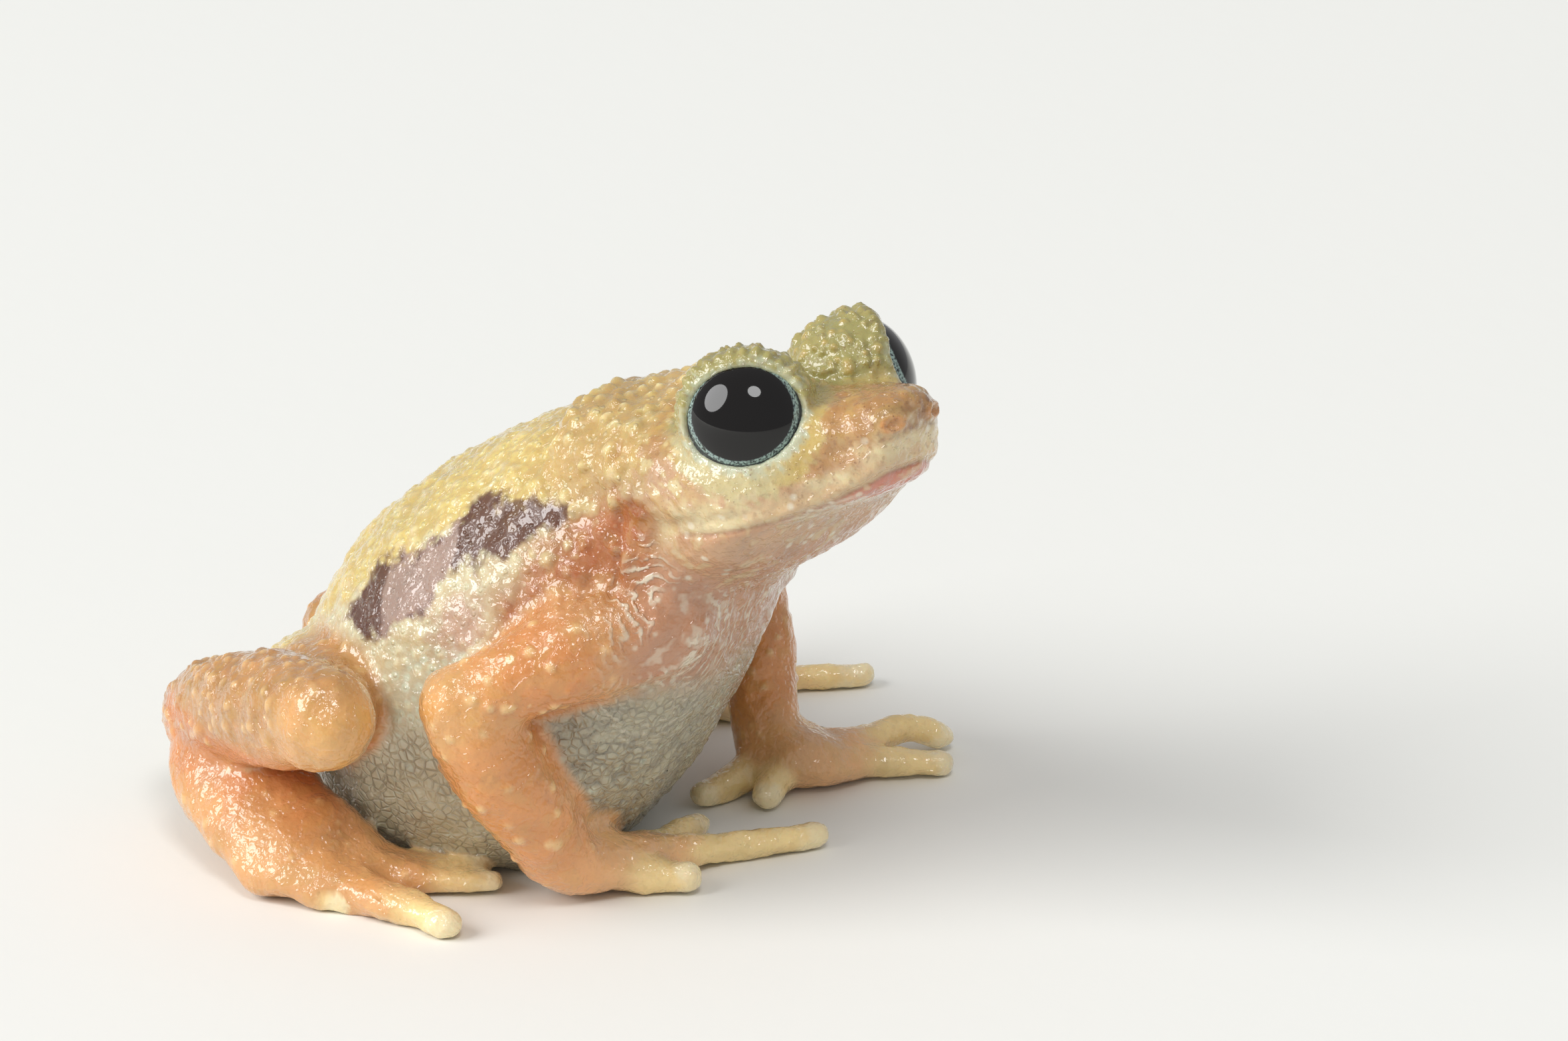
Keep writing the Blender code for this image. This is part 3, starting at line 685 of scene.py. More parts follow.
def neighbour_mean(values, ends, degree):
    """Mean of the values at the other ends of each point's edges."""
    one, two = ends
    count = len(degree)
    total = [
        np.bincount(one, column[two], count) + np.bincount(two, column[one], count) for column in values.T
    ]
    return np.stack(total, axis=1) / degree[:, None]


def relaxed(points, ends, weight, rounds):
    """Moves each point toward the mean of its neighbours by its weight, that many times."""
    degree = np.bincount(ends[0], minlength=len(points)) + np.bincount(ends[1], minlength=len(points))
    for _ in range(rounds):
        points = points + weight[:, None] * (neighbour_mean(points, ends, degree) - points)
    return points


def normals_of(points, faces):
    """Unit sum of the cross products of each point's triangles."""
    a, b, c = (points[faces[:, i]] for i in range(3))
    cross = np.cross(b - a, c - a)
    total = [
        sum(np.bincount(faces[:, i], column, len(points)) for i in range(3)) for column in cross.T
    ]
    return unit(np.stack(total, axis=1) + 1e-12)


def scatter(cells, seed):
    """Even numbers from 0 to 1, one for each whole-number cell, by mixing the bits of its three numbers."""
    mixed = cells[:, 0] * 73856093 ^ cells[:, 1] * 19349663 ^ cells[:, 2] * 83492791 ^ (seed * 51787 + 1013)
    mixed = (mixed ^ mixed >> 13) * 60493 & 0xFFFFFFFF
    mixed = (mixed ^ mixed >> 11) * 19379 & 0xFFFFFFFF
    return (mixed >> 8 & 0xFFFF) / 65536.0


def warts(points, spacing, radius, share, seed):
    """Height from 0 to 1 of round domes, at most one in each cube of the spacing.

    A dome's centre is at random in its cube, its radius is from 0.7 to 1.3 times the given one, and
    only that share of the cubes has one. Height is (1 - (distance / radius) squared) to the power 1.3.
    """
    scaled = points / spacing
    base = np.floor(scaled).astype(np.int64)
    height = np.zeros(len(points))
    for x in (-1, 0, 1):
        for y in (-1, 0, 1):
            for z in (-1, 0, 1):
                cell = base + (x, y, z)
                place = np.stack([scatter(cell, seed + k) for k in range(3)], axis=1)
                size = radius * (0.7 + 0.6 * scatter(cell, seed + 3)) / spacing
                apart = ((cell + place - scaled) ** 2).sum(axis=1) / size**2
                dome = np.clip(1 - apart, 0.0, None) ** 1.3
                height = np.maximum(height, np.where(scatter(cell, seed + 4) < share, dome, 0.0))
    return height


def ripple(points, size, seed):
    """Smooth noise of about -1 to 1: the mean of 14 sine waves of that length in random directions."""
    rng = np.random.default_rng(seed)
    wave = unit(rng.normal(size=(14, 3))) * (2 * np.pi / size) * rng.uniform(0.7, 1.4, size=(14, 1))
    return np.sin(points @ wave.T + rng.uniform(0, 2 * np.pi, 14)).sum(axis=1) / math.sqrt(14)


def trunk_place(points):
    """Station number from the rump, and level from -1 at the belly to 1 at the back, of each point.

    Each station's section lies in a plane through its back and belly. A point between two planes has
    a share of the way given by its distances to both.
    """
    rows = np.array(TORSO)
    middle, half = (rows[:, :2] + rows[:, 2:4]) / 2, (rows[:, :2] - rows[:, 2:4]) / 2
    ahead = unit(np.stack([-half[:, 1], half[:, 0]], axis=1))
    flat = points[:, 1:]
    passed = [(flat - m) @ a for m, a in zip(middle, ahead)]
    number = np.zeros(len(points))
    for near, far in zip(passed, passed[1:]):
        between = near / np.where(near - far > 1e-9, near - far, 1.0)
        number += np.where(far >= 0, 1.0, np.where(near <= 0, 0.0, between))
    steps = np.arange(len(rows))
    at, out = (
        np.stack([np.interp(number, steps, column) for column in table.T], axis=1)
        for table in (middle, half)
    )
    return number, ((flat - at) * out).sum(axis=1) / (out**2).sum(axis=1)


def along_path(points, stations, count=26):
    """Share of the way along a limb's path of its nearest point, and the distance to it in limb radii."""
    rows = smooth_rows(stations, count)
    nearest = np.full(len(points), 99.0)
    share = np.zeros(len(points))
    low, high = rows[:, :3].min(axis=0) - 4, rows[:, :3].max(axis=0) + 4
    near = np.nonzero(((points > low) & (points < high)).all(axis=1))[0]
    for k, row in enumerate(rows):
        ratio = np.linalg.norm(points[near] - row[:3], axis=1) / (row[3:5].mean())
        closer = ratio < nearest[near]
        nearest[near[closer]] = ratio[closer]
        share[near[closer]] = k / (count - 1)
    return share, nearest


def limb_fields(points):
    """How far along each kind of limb part a point lies, and its distance to the part in limb radii."""
    fields = {}
    for side in (RIGHT, LEFT):
        for kind, paths in limb_paths(side).items():
            share, ratio = fields.setdefault(kind, [np.zeros(len(points)), np.full(len(points), 99.0)])
            for number, stations in enumerate(paths):
                along, apart = along_path(points, stations)
                if kind in TWO_PART_LIMBS:
                    along = (number + along) / 2
                closer = apart < ratio
                share[closer] = along[closer]
                ratio[closer] = apart[closer]
    return fields


def shoulder_distance(points):
    """Distance in millimetres from the root of the arm on the same side."""
    shoulder = np.array([abs(ARMS[RIGHT][0][0]), *ARMS[RIGHT][0][1:3]])
    mirrored = np.concatenate([np.abs(points[:, :1]), points[:, 1:]], axis=1)
    return np.linalg.norm((mirrored - shoulder) * (1.0, 1.0, 0.8), axis=1)


def eye_zones(points, head, ragged):
    """For each eye: the points' place, distance from its axis, share above its middle and share in its lids.

    The upper lid reaches as far as its dome does round the eye's centre. The lower lid is a band round the
    eye's axis.
    """
    eyes = []
    for side in (RIGHT, LEFT):
        place = eye_place(points, side)
        radius = np.hypot(place[:, 0], place[:, 1])
        away = np.linalg.norm(place + (0.0, 0.0, LID_SET_BACK), axis=1)
        high = eased(place[:, 1] + ragged, -0.4, 0.5)
        low = eased(radius + ragged, 2.35, 2.1) * eased(place[:, 2], -1.7, -1.0)
        dome = (high * eased(away + ragged, 2.65, 2.3) + (1 - high) * low) * head
        eyes.append(types.SimpleNamespace(side=side, place=place, radius=radius, high=high, dome=dome))
    return eyes


def zones(points):
    """Where each point lies on the body, and how far it belongs to each part, from 0 to 1.

    A limb part's share falls as exp of minus LIMB_MEETING times how much further off it is than the
    nearest part, in limb radii. Limbs count where a point is near one, or stands clear of the trunk's own
    sections.
    """
    forward, left, up = head_place(points).T
    aside = np.abs(left)
    number, level = trunk_place(points)
    limbs = limb_fields(points)
    wave, fine, finer = ripple(points, 2.4, 51), ripple(points, 0.7, 52), ripple(points, 0.3, 53)
    half_width = np.interp(number, np.arange(len(TORSO)), np.array(TORSO)[:, 4])
    clear = eased(np.maximum(np.abs(points[:, 0]) / half_width, np.abs(level)), 1.04, 1.2)
    nearest = np.minimum.reduce([ratio for _, ratio in limbs.values()])
    close = np.maximum(eased(nearest + 0.05 * wave, 1.4, 1.05), clear * eased(nearest, 2.4, 1.8))
    head = eased(forward + 0.2 * wave, *NECK_TO_HEAD) * eased(up, *JAW_LEVEL)
    pull = {kind: np.exp(-LIMB_MEETING * (ratio - nearest)) for kind, (_, ratio) in limbs.items()}
    total = sum(pull.values())
    joined = sum(
        pull[kind] / total * eased(limbs[kind][0] + 0.02 * wave, *root) for kind, root in LIMB_ROOTS.items()
    )
    limb = close * (1 - head) * (1 - joined)
    trunk = (1 - head) * (1 - limb)

    # Knee and shank. The shank's top follows its fall from the knee to the heel.
    mirrored = np.concatenate([np.abs(points[:, :1]), points[:, 1:]], axis=1)
    from_knee = np.linalg.norm(mirrored - np.array(KNEE[:3]) - KNEECAP, axis=1)
    knee = eased(from_knee + 0.3 * wave + 0.1 * fine, *KNEECAP_REACH)
    fall = (KNEE[2] - HEELS[RIGHT][2]) / (HEELS[RIGHT][1] - KNEE[1])
    above_shank = points[:, 2] - KNEE[2] + fall * (points[:, 1] - KNEE[1])

    # Axilla, and the fold behind the head, which leans back as it goes down.
    from_shoulder = shoulder_distance(points)
    under_shoulder = eased(from_shoulder + 0.3 * wave, 3.9, 2.9) * eased(level, 0.2, -0.1)
    neck_sides = eased(aside, 2.5, 3.2) * eased(up, 0.3, -0.3) * eased(up, -4.6, -3.8)
    neck_line = forward + 3.75 - 0.19 * (up + 0.5) + 0.06 * wave

    # Distance from a nostril counts less sideways, so that its pit shows wherever the skin lies there.
    from_nostril = np.sqrt(
        (forward - NOSTRIL[0]) ** 2 + 0.2 * (aside - NOSTRIL[1]) ** 2 + (up - NOSTRIL[2]) ** 2
    )
    eyes = eye_zones(points, head, 0.1 * fine + 0.06 * finer)
    lids = np.maximum(eyes[0].dome, eyes[1].dome)
    behind_crest = [
        eased(eye.place[:, 2], 0.54, 0.37) * eased(eye.place[:, 1], -0.1, 0.5) for eye in eyes
    ]
    return types.SimpleNamespace(
        wave=wave,
        fine=fine,
        finer=finer,
        forward=forward,
        aside=aside,
        up=up,
        number=number,
        level=level,
        head=head,
        trunk=trunk,
        limb=limb,
        on={kind: limb * share / total for kind, share in pull.items()},
        along={kind: share for kind, (share, _) in limbs.items()},
        eyes=eyes,
        lids=lids,
        upper_lid=sum(eye.dome * behind for eye, behind in zip(eyes, behind_crest)),
        cheek=head * (1 - lids) * eased(up - lip_level(forward), *CHEEK_ABOVE_LIP),
        from_lip=up - lip_level(forward),
        from_nostril=from_nostril,
        nape=eased(number, *NAPE) * eased(level, *NAPE_ABOVE) * trunk,
        shoulder=eased(number + 0.2 * wave, *SHOULDER) * eased(level + 0.08 * wave, *BELOW_STRIPE) * trunk,
        from_shoulder=from_shoulder,
        axilla=under_shoulder * eased(number, *AXILLA) * trunk,
        neck_fold=bell(neck_line, 0.14) * neck_sides,
        belly_front=eased(number, 4.6, 5.4) * eased(number, 7.0, 6.4) * eased(level, 0.0, -0.3) * trunk,
        knee=knee,
        shank_top=eased(above_shank + 0.2 * wave, *SHANK_TOP) * (1 - knee),
    )


def lip_level(forward):
    """Level of the mouth's line at each distance forward. The snout's rounded tip isn't counted."""
    rows = np.array(SKULL[:-2])
    return np.interp(forward, rows[:, 0], rows[:, 4])


def wart_fields(points, at):
    """Height from 0 to 1 of each kind of wart, where it grows. Few stand up from the side stripe."""
    bare = 1 - 0.75 * eased(side_fields(at)["stripe"], -0.02, 0.1)
    where = {
        "lid": at.upper_lid,
        "cheek": at.cheek,
        "behind_eye": at.cheek * eased(at.forward, 0.6, -0.6),
        "nape": at.nape * bare,
        "back": at.trunk * eased(at.level, -0.1, 0.1) * bare,
        "belly": at.trunk * eased(at.level, -0.3, -0.6),
        "arm": at.on["arm"],
        "shank": at.on["leg"] * at.shank_top,
        "foot": at.on["foot"] + 0.5 * at.on["palm"],
    }
    for name, share in where.items():
        there = share > 0.01
        *sizes, _ = WARTS[name]
        share[there] *= warts(points[there], *sizes)
    return where


def in_socket(points):
    """Presses the middle of each lid ring back inside the eyeball, so that only the rim meets the eye."""
    moved = points.copy()
    for side in (RIGHT, LEFT):
        place = eye_place(points, side)
        share = opening_share(place)
        push = eased(share, 0.985, 0.8) * (place[:, 2] > 0.2)
        moved -= (SOCKET_DEPTH * push)[:, None] * eye_axes(side)[2]
    return moved


def relief(points, at):
    """Height in millimetres that every fold, wart, lip and lid adds along the skin's normal."""
    height = np.zeros(len(points))

    # Mouth: a groove along the lip line, and the lip standing over it.
    mouth = eased(at.forward, MOUTH_CORNER - 0.2, MOUTH_CORNER + 0.3) * at.head
    height -= 0.08 * bell(at.from_lip + 0.02, 0.09) * mouth
    height += 0.05 * bell(at.from_lip - 0.22, 0.14) * mouth

    # Nostrils: a low ring round a small pit.
    height += 0.08 * bell(at.from_nostril - 0.22, 0.08) - 0.22 * bell(at.from_nostril, 0.12)

    # Snout: the hollow below the edge from eye to nostril, and shallow wet folds from there up.
    snout = eased(at.forward, 1.2, 1.8) * eased(at.forward, 3.6, 3.0)
    height -= 0.1 * snout * bell(at.up + 1.35, 0.4) * eased(at.aside, 0.9, 1.3)
    height += 0.03 * at.fine * snout * eased(at.up, -1.9, -1.3)

    # Lids: uneven cones along the upper lid's crest.
    for eye in at.eyes:
        turn = np.degrees(np.arctan2(eye.place[:, 1], eye.place[:, 0]))
        phase = (turn - FIRST_CONE) / CONE_STEP
        cone = np.round(phase)
        inward = eye.radius - CREST_RADIUS - 0.05 * np.sin(3.7 * cone)
        out = np.hypot(inward, eye.place[:, 2] - CREST_DEPTH)
        crest = np.clip(1 - np.hypot((phase - cone) * 0.36, out * 0.75) / 0.19, 0.0, None)
        upper = eased(turn, 12, 30) * eased(turn, 168, 150)
        height += (0.17 + 0.06 * np.sin(5.1 * cone)) * crest * upper

    # Warts, the fold behind the head, folds of the belly and uneven flesh.
    for name, share in wart_fields(points, at).items():
        height += WARTS[name][-1] * share
    height -= 0.12 * at.neck_fold + 0.05 * bell(at.fine, 0.3) * at.belly_front
    height += 0.04 * ripple(points, 1.6, 5) * (1 - at.head) + 0.015 * ripple(points, 0.5, 6)
    return height


def settled(points):
    """Flattens the soles, palms and belly on the floor: what would lie below it is brought up to it."""
    points = points.copy()
    points[:, 2] = np.maximum(points[:, 2], 0.0)
    return points


def skin_mesh(voxel):
    """The fused skin with its relief, and each point's place on the head.

    It is relaxed everywhere a little, and then more where nothing small stands: less on the digits and
    lips, and not at all round the eyes.
    """
    obj = fused_skin(voxel)
    points, faces = mesh_arrays(obj.data)
    ends = edges_of(faces)
    head = head_place(points)
    close = np.full(len(points), 9.0)
    for side in (RIGHT, LEFT):
        close = np.minimum(close, np.linalg.norm(eye_place(points, side), axis=1))
    points = relaxed(points, ends, np.full(len(points), 0.5), EVEN_ROUNDS)
    limbs = limb_fields(points)
    digit = np.maximum(1 - eased(limbs["finger"][1], 1.1, 1.6), 1 - eased(limbs["toe"][1], 1.1, 1.6))
    lips = bell(head[:, 2] - lip_level(head[:, 0]), 0.3) * eased(head[:, 0], -2.4, -1.6)
    soft = 0.5 * (1 - digit * 0.8) * eased(close, 2.2, 2.8) * (1 - 0.7 * lips)
    points = relaxed(points, ends, soft, SOFT_ROUNDS)
    points = in_socket(points)
    normals = normals_of(points, faces)
    points = settled(points + relief(points, zones(points))[:, None] * normals)
    obj.data.vertices.foreach_set("co", points.astype(np.float32).ravel())
    return obj, head


def painted(colours, *coats):
    """The colours under coats laid on in turn. Each coat is a colour and its weight at every point."""
    for colour, weight in coats:
        weight = np.clip(weight, 0.0, 1.0)[:, None]
        colours = colours * (1 - weight) + np.array(colour[:3]) * weight
    return colours


def side_fields(at):
    """How deep inside the stripe, the blotch and the spot a point lies, in levels, and how brown it is."""
    rows = np.array(STRIPE)
    low, high = (np.interp(at.number, rows[:, 0], rows[:, k]) for k in (1, 2))
    across = np.minimum(at.level - low, high - at.level)
    ends = np.minimum(0.4 * (at.number - rows[0, 0]), 0.25 * (rows[-1, 0] - at.number))
    inside = {"stripe": np.minimum(across, ends)}
    for name, size, number, level, length, width in SIDE_SPOTS:
        apart = np.hypot((at.number - number) / length, (at.level - level) / width)
        inside[name] = np.maximum(size - size * apart, -0.5)
    fields = {name: np.clip(depth, -1, 1) * at.trunk - (1 - at.trunk) for name, depth in inside.items()}
    middle = eased(at.number, 4.5, 4.75) * eased(at.number, 5.3, 5.1)
    fields["brown"] = np.maximum.reduce([eased(at.number, 3.85, 3.6), middle, eased(at.number, 4.95, 5.3)])
    return fields


def trunk_colour(at, paint):
    """Yellow back, cream flank, orange shoulder, pale mint edge, grey-green belly with painted light at its
    rear and painted shade over its front and in its folds, and pink chest.
    """
    rows = np.array(BELLY_LIMIT)
    below = np.interp(at.number, rows[:, 0], rows[:, 1]) - at.level
    ragged = 0.05 * at.wave + 0.03 * at.fine
    belly = eased(below + ragged, 0.0, 0.2)
    chest = eased(at.number + 0.3 * at.level, *CHEST) * eased(at.level, 0.0, -0.4)
    colours = painted(
        np.tile(np.array(paint.back[:3]), (len(at.level), 1)),
        (paint.flank, eased(at.level + 0.05 * at.wave + 0.04 * at.fine, *CREAM_BELOW)),
        (paint.nape, eased(at.number, 5.4, 6.6) * 0.7),
        (paint.shoulder, at.shoulder * (0.9 + 0.1 * at.fine)),
        (paint.mint, eased(below + ragged, -0.3, -0.02) * eased(at.number, 6.0, 5.2)),
        (paint.belly, belly),
        # Painted shade over the front of the belly, and in the folds of its front.
        (paint.belly_shade, belly * eased(at.number, 4.6, 5.6) * 0.3),
        (paint.belly_shade, belly * at.belly_front * bell(at.fine, 0.25) * 0.6),
        # Painted light: the rear of the belly made paler with mint.
        (paint.mint, belly * eased(at.number, 4.6, 3.6) * 0.3),
        (paint.throat, chest),
        (paint.shoulder, at.neck_fold * 0.5),
    )
    return colours, belly, chest


def limb_colour(points, at, paint):
    """Orange arms, browner toward the shoulder, orange-tan legs with a brown-yellow top and painted shade of
    deep orange in the fold below the knee, yellow digits with pale tips.
    """
    skins = {
        "arm": paint.arm,
        "palm": paint.palm,
        "finger": paint.palm,
        "leg": paint.leg,
        "foot": paint.foot,
        "toe": paint.foot,
    }
    colours = sum(at.on[kind][:, None] * np.array(skin[:3]) for kind, skin in skins.items())
    arm, leg, foot = (at.on[kind] for kind in ("arm", "leg", "foot"))
    shaded_below_shank = eased(points[:, 2], 4.6, 3.9) * eased(np.abs(points[:, 0]), 4.0, 5.0)
    colours = painted(
        colours / (sum(at.on.values())[:, None] + 1e-9),
        # Upper arm browner toward the shoulder: partly its own colour, partly painted shade against the key
        # light on its top.
        (paint.shoulder, arm * eased(at.along["arm"], 0.46, 0.25) * 0.3),
        (paint.elbow, arm * bell(at.along["arm"] - 0.5, 0.08) * 0.7),
        (paint.leg_top, leg * at.shank_top * (0.6 + 0.2 * at.fine)),
        (paint.knee, leg * at.knee * 0.85),
        # Painted shade: deep orange under the shank and on the foot's top, in the fold between them.
        (paint.fold, leg * shaded_below_shank * 0.7),
        (paint.fold, foot * eased(points[:, 2] + 0.3 * at.wave, 1.5, 3.2) * 0.65),
    )
    for kind, yellow in DIGIT_YELLOW.items():
        along = at.along[kind] + 0.05 * at.fine
        colours = painted(
            colours,
            (paint.digit, at.on[kind] * eased(along, *yellow)),
            (paint.tip, at.on[kind] * eased(along, 0.86, 0.98) * 0.8),
        )
    return colours


def head_colour(at, paint):
    """Tan head with a brown crown, yellow patches, cream on lip and snout, a tan throat paler under the jaw
    as painted light, and painted shade in the mouth's line and the nostrils' pits.
    """
    ragged = 0.12 * at.fine + 0.08 * at.finer
    patches = eased(0.7 * at.wave + 0.5 * at.fine + 0.4 * at.finer, 0.3, 1.0)
    blobs = eased(at.fine + 0.6 * at.finer - 0.3 * at.wave, 0.55, 1.1)
    behind_eye = eased(at.forward, -0.4, -1.2) * eased(at.from_lip, 0.4, 1.0)
    before_eye = eased(at.forward, 0.9, 1.5) * eased(at.from_lip + ragged, 0.6, 1.1)
    colours = painted(
        np.tile(np.array(paint.cheek[:3]), (len(at.up), 1)),
        (paint.crown, eased(at.up + ragged, -1.2, -0.2)),
        (paint.patch, patches * eased(at.up, -1.3, -0.4) * 0.75),
        (paint.patch, patches * behind_eye * 0.6),
        (paint.cream, blobs * behind_eye * 0.7),
        (paint.lip, eased(at.from_lip + ragged, 1.0, 0.4) * eased(at.forward, -2.2, -1.6)),
        (paint.crown, before_eye * 0.75),
    )
    for ahead, up, length, height in SNOUT_PATCHES:
        apart = np.hypot((at.forward - ahead) / length, (at.up - up) / height)
        blob = eased(apart + 3 * ragged, 1.25, 0.6) * eased(at.from_lip, 0.05, 0.25)
        colours = painted(colours, (paint.cream, blob * (0.6 + 0.3 * at.finer)))

    # Corner of the mouth, lower jaw with the throat behind it, and the faint pale threads along the jaw.
    corner = eased(at.forward, -2.05, -1.85) * eased(at.forward + 2.5 * ragged, 0.5, -0.3)
    corner = corner * eased(at.from_lip + 1.5 * ragged, 1.15, 0.7) * eased(at.from_lip, 0.02, 0.1)
    behind_corner = eased(at.forward, -1.9, -2.4) * bell(at.from_lip, 0.8)
    under_lip = eased(at.from_lip, 0.03, -0.06) * eased(at.forward, -2.6, -1.9)
    deep = eased(at.from_lip, -0.2, -0.6) * eased(at.forward, -1.9, -2.6)
    jaw = np.maximum(under_lip, deep)
    threads = 0.5 + 0.5 * np.sin(2 * np.pi * at.from_lip / 0.13 + 1.5 * at.fine)
    threads = threads * bell(at.from_lip + 0.25, 0.3) * eased(at.forward, 0.2, 1.0)
    threads = threads * eased(at.forward + 0.2 * at.wave, 2.6, 2.0)
    return painted(
        colours,
        (paint.cream, corner * (0.85 + 0.12 * at.fine)),
        (paint.cream, behind_corner * (0.7 + 0.2 * at.fine)),
        (paint.throat, jaw),
        # Painted light: the throat just under the jaw made paler with the lip's cream-tan.
        (paint.lip, jaw * bell(at.from_lip + 0.5, 0.6) * 0.45),
        (paint.lower_lip, jaw * eased(at.forward, 1.6, 2.6)),
        (paint.chest_white, threads * jaw * 0.85),
        # Painted shade along the line of the mouth.
        (paint.mouth, bell(at.from_lip + 0.02, 0.05) * eased(at.forward, -2.1, -1.6) * 0.4),
        (paint.speck, bell(at.from_nostril - 0.4, 0.12) * (0.35 + 0.3 * at.finer)),
        (paint.arm, bell(at.from_nostril - 0.2, 0.08) * 0.7),
        # Painted shade in the pit of each nostril.
        (paint.mouth, bell(at.from_nostril, 0.11) * 0.9),
    )


def lid_colour(at, paint, colours):
    """Green-yellow upper lid, pale lower lid, yellow in front, and a pale mint edge, over what is there."""
    ragged = 0.1 * at.fine + 0.06 * at.finer
    stipple = 0.04 * at.fine + 0.09 * at.finer
    for eye in at.eyes:
        front = eased(-eye.side * eye.place[:, 0] + ragged, 0.0, 1.2)
        low = eye.dome * (1 - eye.high)
        rim = eased(opening_share(eye.place) + stipple, 1.19, 1.04) * (eye.place[:, 2] > 0.2)
        colours = painted(
            colours,
            (paint.lower_lid, low),
            (paint.patch, low * front * eased(eye.radius, 1.45, 1.9) * 0.85),
            (paint.upper_lid, eye.dome * eye.high),
            (paint.lid_ring, rim * eye.dome * (0.8 - 0.3 * eye.high)),
        )
    return colours


def wart_colour(points, at, paint, colours):
    """Warts paler than the skin round them, and the darker gaps between those of the nape."""
    wart = wart_fields(points, at)
    gaps = eased(wart["nape"], 0.4, 0.05) * at.nape
    low = eased(at.level + 0.1 * at.wave, 0.7, 0.4)
    return painted(
        colours,
        (paint.limb_wart, eased(wart["arm"], 0.1, 0.8) * 0.75),
        (paint.limb_wart, eased(wart["shank"] + wart["foot"], 0.15, 0.9) * 0.6),
        (paint.seam, gaps * (1 - low) * 0.5),
        (paint.shoulder, gaps * low * 0.75),
        (paint.nape_wart, eased(wart["nape"], 0.4, 1.0) * (0.75 - 0.35 * at.shoulder)),
        (paint.granule, eased(wart["back"] * (1 - at.nape), 0.2, 0.8) * 0.45),
        (paint.patch, eased(wart["lid"], 0.3, 0.9) * 0.5),
    )


def skin_paint(points, paint):
    """Colour of the skin by region, and the fields that the material turns into patterns."""
    at = zones(points)
    limb, head = at.limb[:, None], at.head[:, None]
    colours, belly, chest = trunk_colour(at, paint)
    colours = colours * (1 - limb) + limb_colour(points, at, paint) * limb
    colours = colours * (1 - head) + head_colour(at, paint) * head
    colours = lid_colour(at, paint, colours)
    colours = wart_colour(points, at, paint, colours)
    specked_head = at.head * eased(at.from_lip, 0.0, 0.3) * (0.6 + 0.4 * eased(at.forward, 0.5, 1.5))
    specked_head = specked_head * (1 - at.lids)
    clouded_head = at.head * (1 - 0.6 * at.lids)
    patchy = eased(at.wave + 0.4 * at.fine, -1.0, 0.6)
    fields = side_fields(at) | {
        "granular": at.trunk * eased(at.level, -0.25, 0.0) * (1 - belly) * (1 - 0.7 * at.shoulder),
        "belly": belly * at.trunk * (1 - chest),
        "folds": chest * (1 - at.limb),
        "axilla": at.axilla * patchy * (1 - 0.5 * belly),
        "from_shoulder": at.from_shoulder,
        "speckled": np.clip(0.25 * at.limb + specked_head + 0.75 * at.lids, 0, 1),
        "mottled": np.clip(0.35 * at.limb + 0.7 * clouded_head + 0.4 * at.nape, 0, 1),
    }
    return colours, fields


def add(tree, kind, *inputs, out=0, **options):
    """Adds a node and returns one of its outputs.

    Inputs go in order, or by number in one dictionary, or by name with a capital letter. Other options
    are the node's settings. A socket is linked, and a value is set.
    """
    node = tree.nodes.new("ShaderNode" + kind)
    given = dict(inputs[0]) if inputs and isinstance(inputs[0], dict) else dict(enumerate(inputs))
    for key, value in options.items():
        if key[0].isupper():
            given[key.replace("_", " ")] = value
        else:
            setattr(node, key, value)
    for key, value in given.items():
        if isinstance(value, bpy.types.NodeSocket):
            tree.links.new(value, node.inputs[key])
        else:
            node.inputs[key].default_value = value
    return node.outputs[out]


def new_material(name, **settings):
    """A material with plain settings, its Principled shader, and a function that adds a node to it."""
    material = bpy.data.materials.new(name)
    material.use_nodes = True
    tree = material.node_tree
    shader = tree.nodes["Principled BSDF"]
    for key, value in settings.items():
        shader.inputs[key.replace("_", " ")].default_value = value
    return material, shader, functools.partial(add, tree)


def link(shader, name, output):
    """Joins a node's output to one of the shader's sockets."""
    shader.id_data.links.new(output, shader.inputs[name])


def layered(put, colour, layers):
    """The colour under further ones, each as much as the product of its shares."""
    for top, first, *shares in layers:
        for share in shares:
            first = put("Math", first, share, operation="MULTIPLY")
        colour = put("Mix", {0: first, 6: colour, 7: top}, data_type="RGBA", out=2)
    return colour


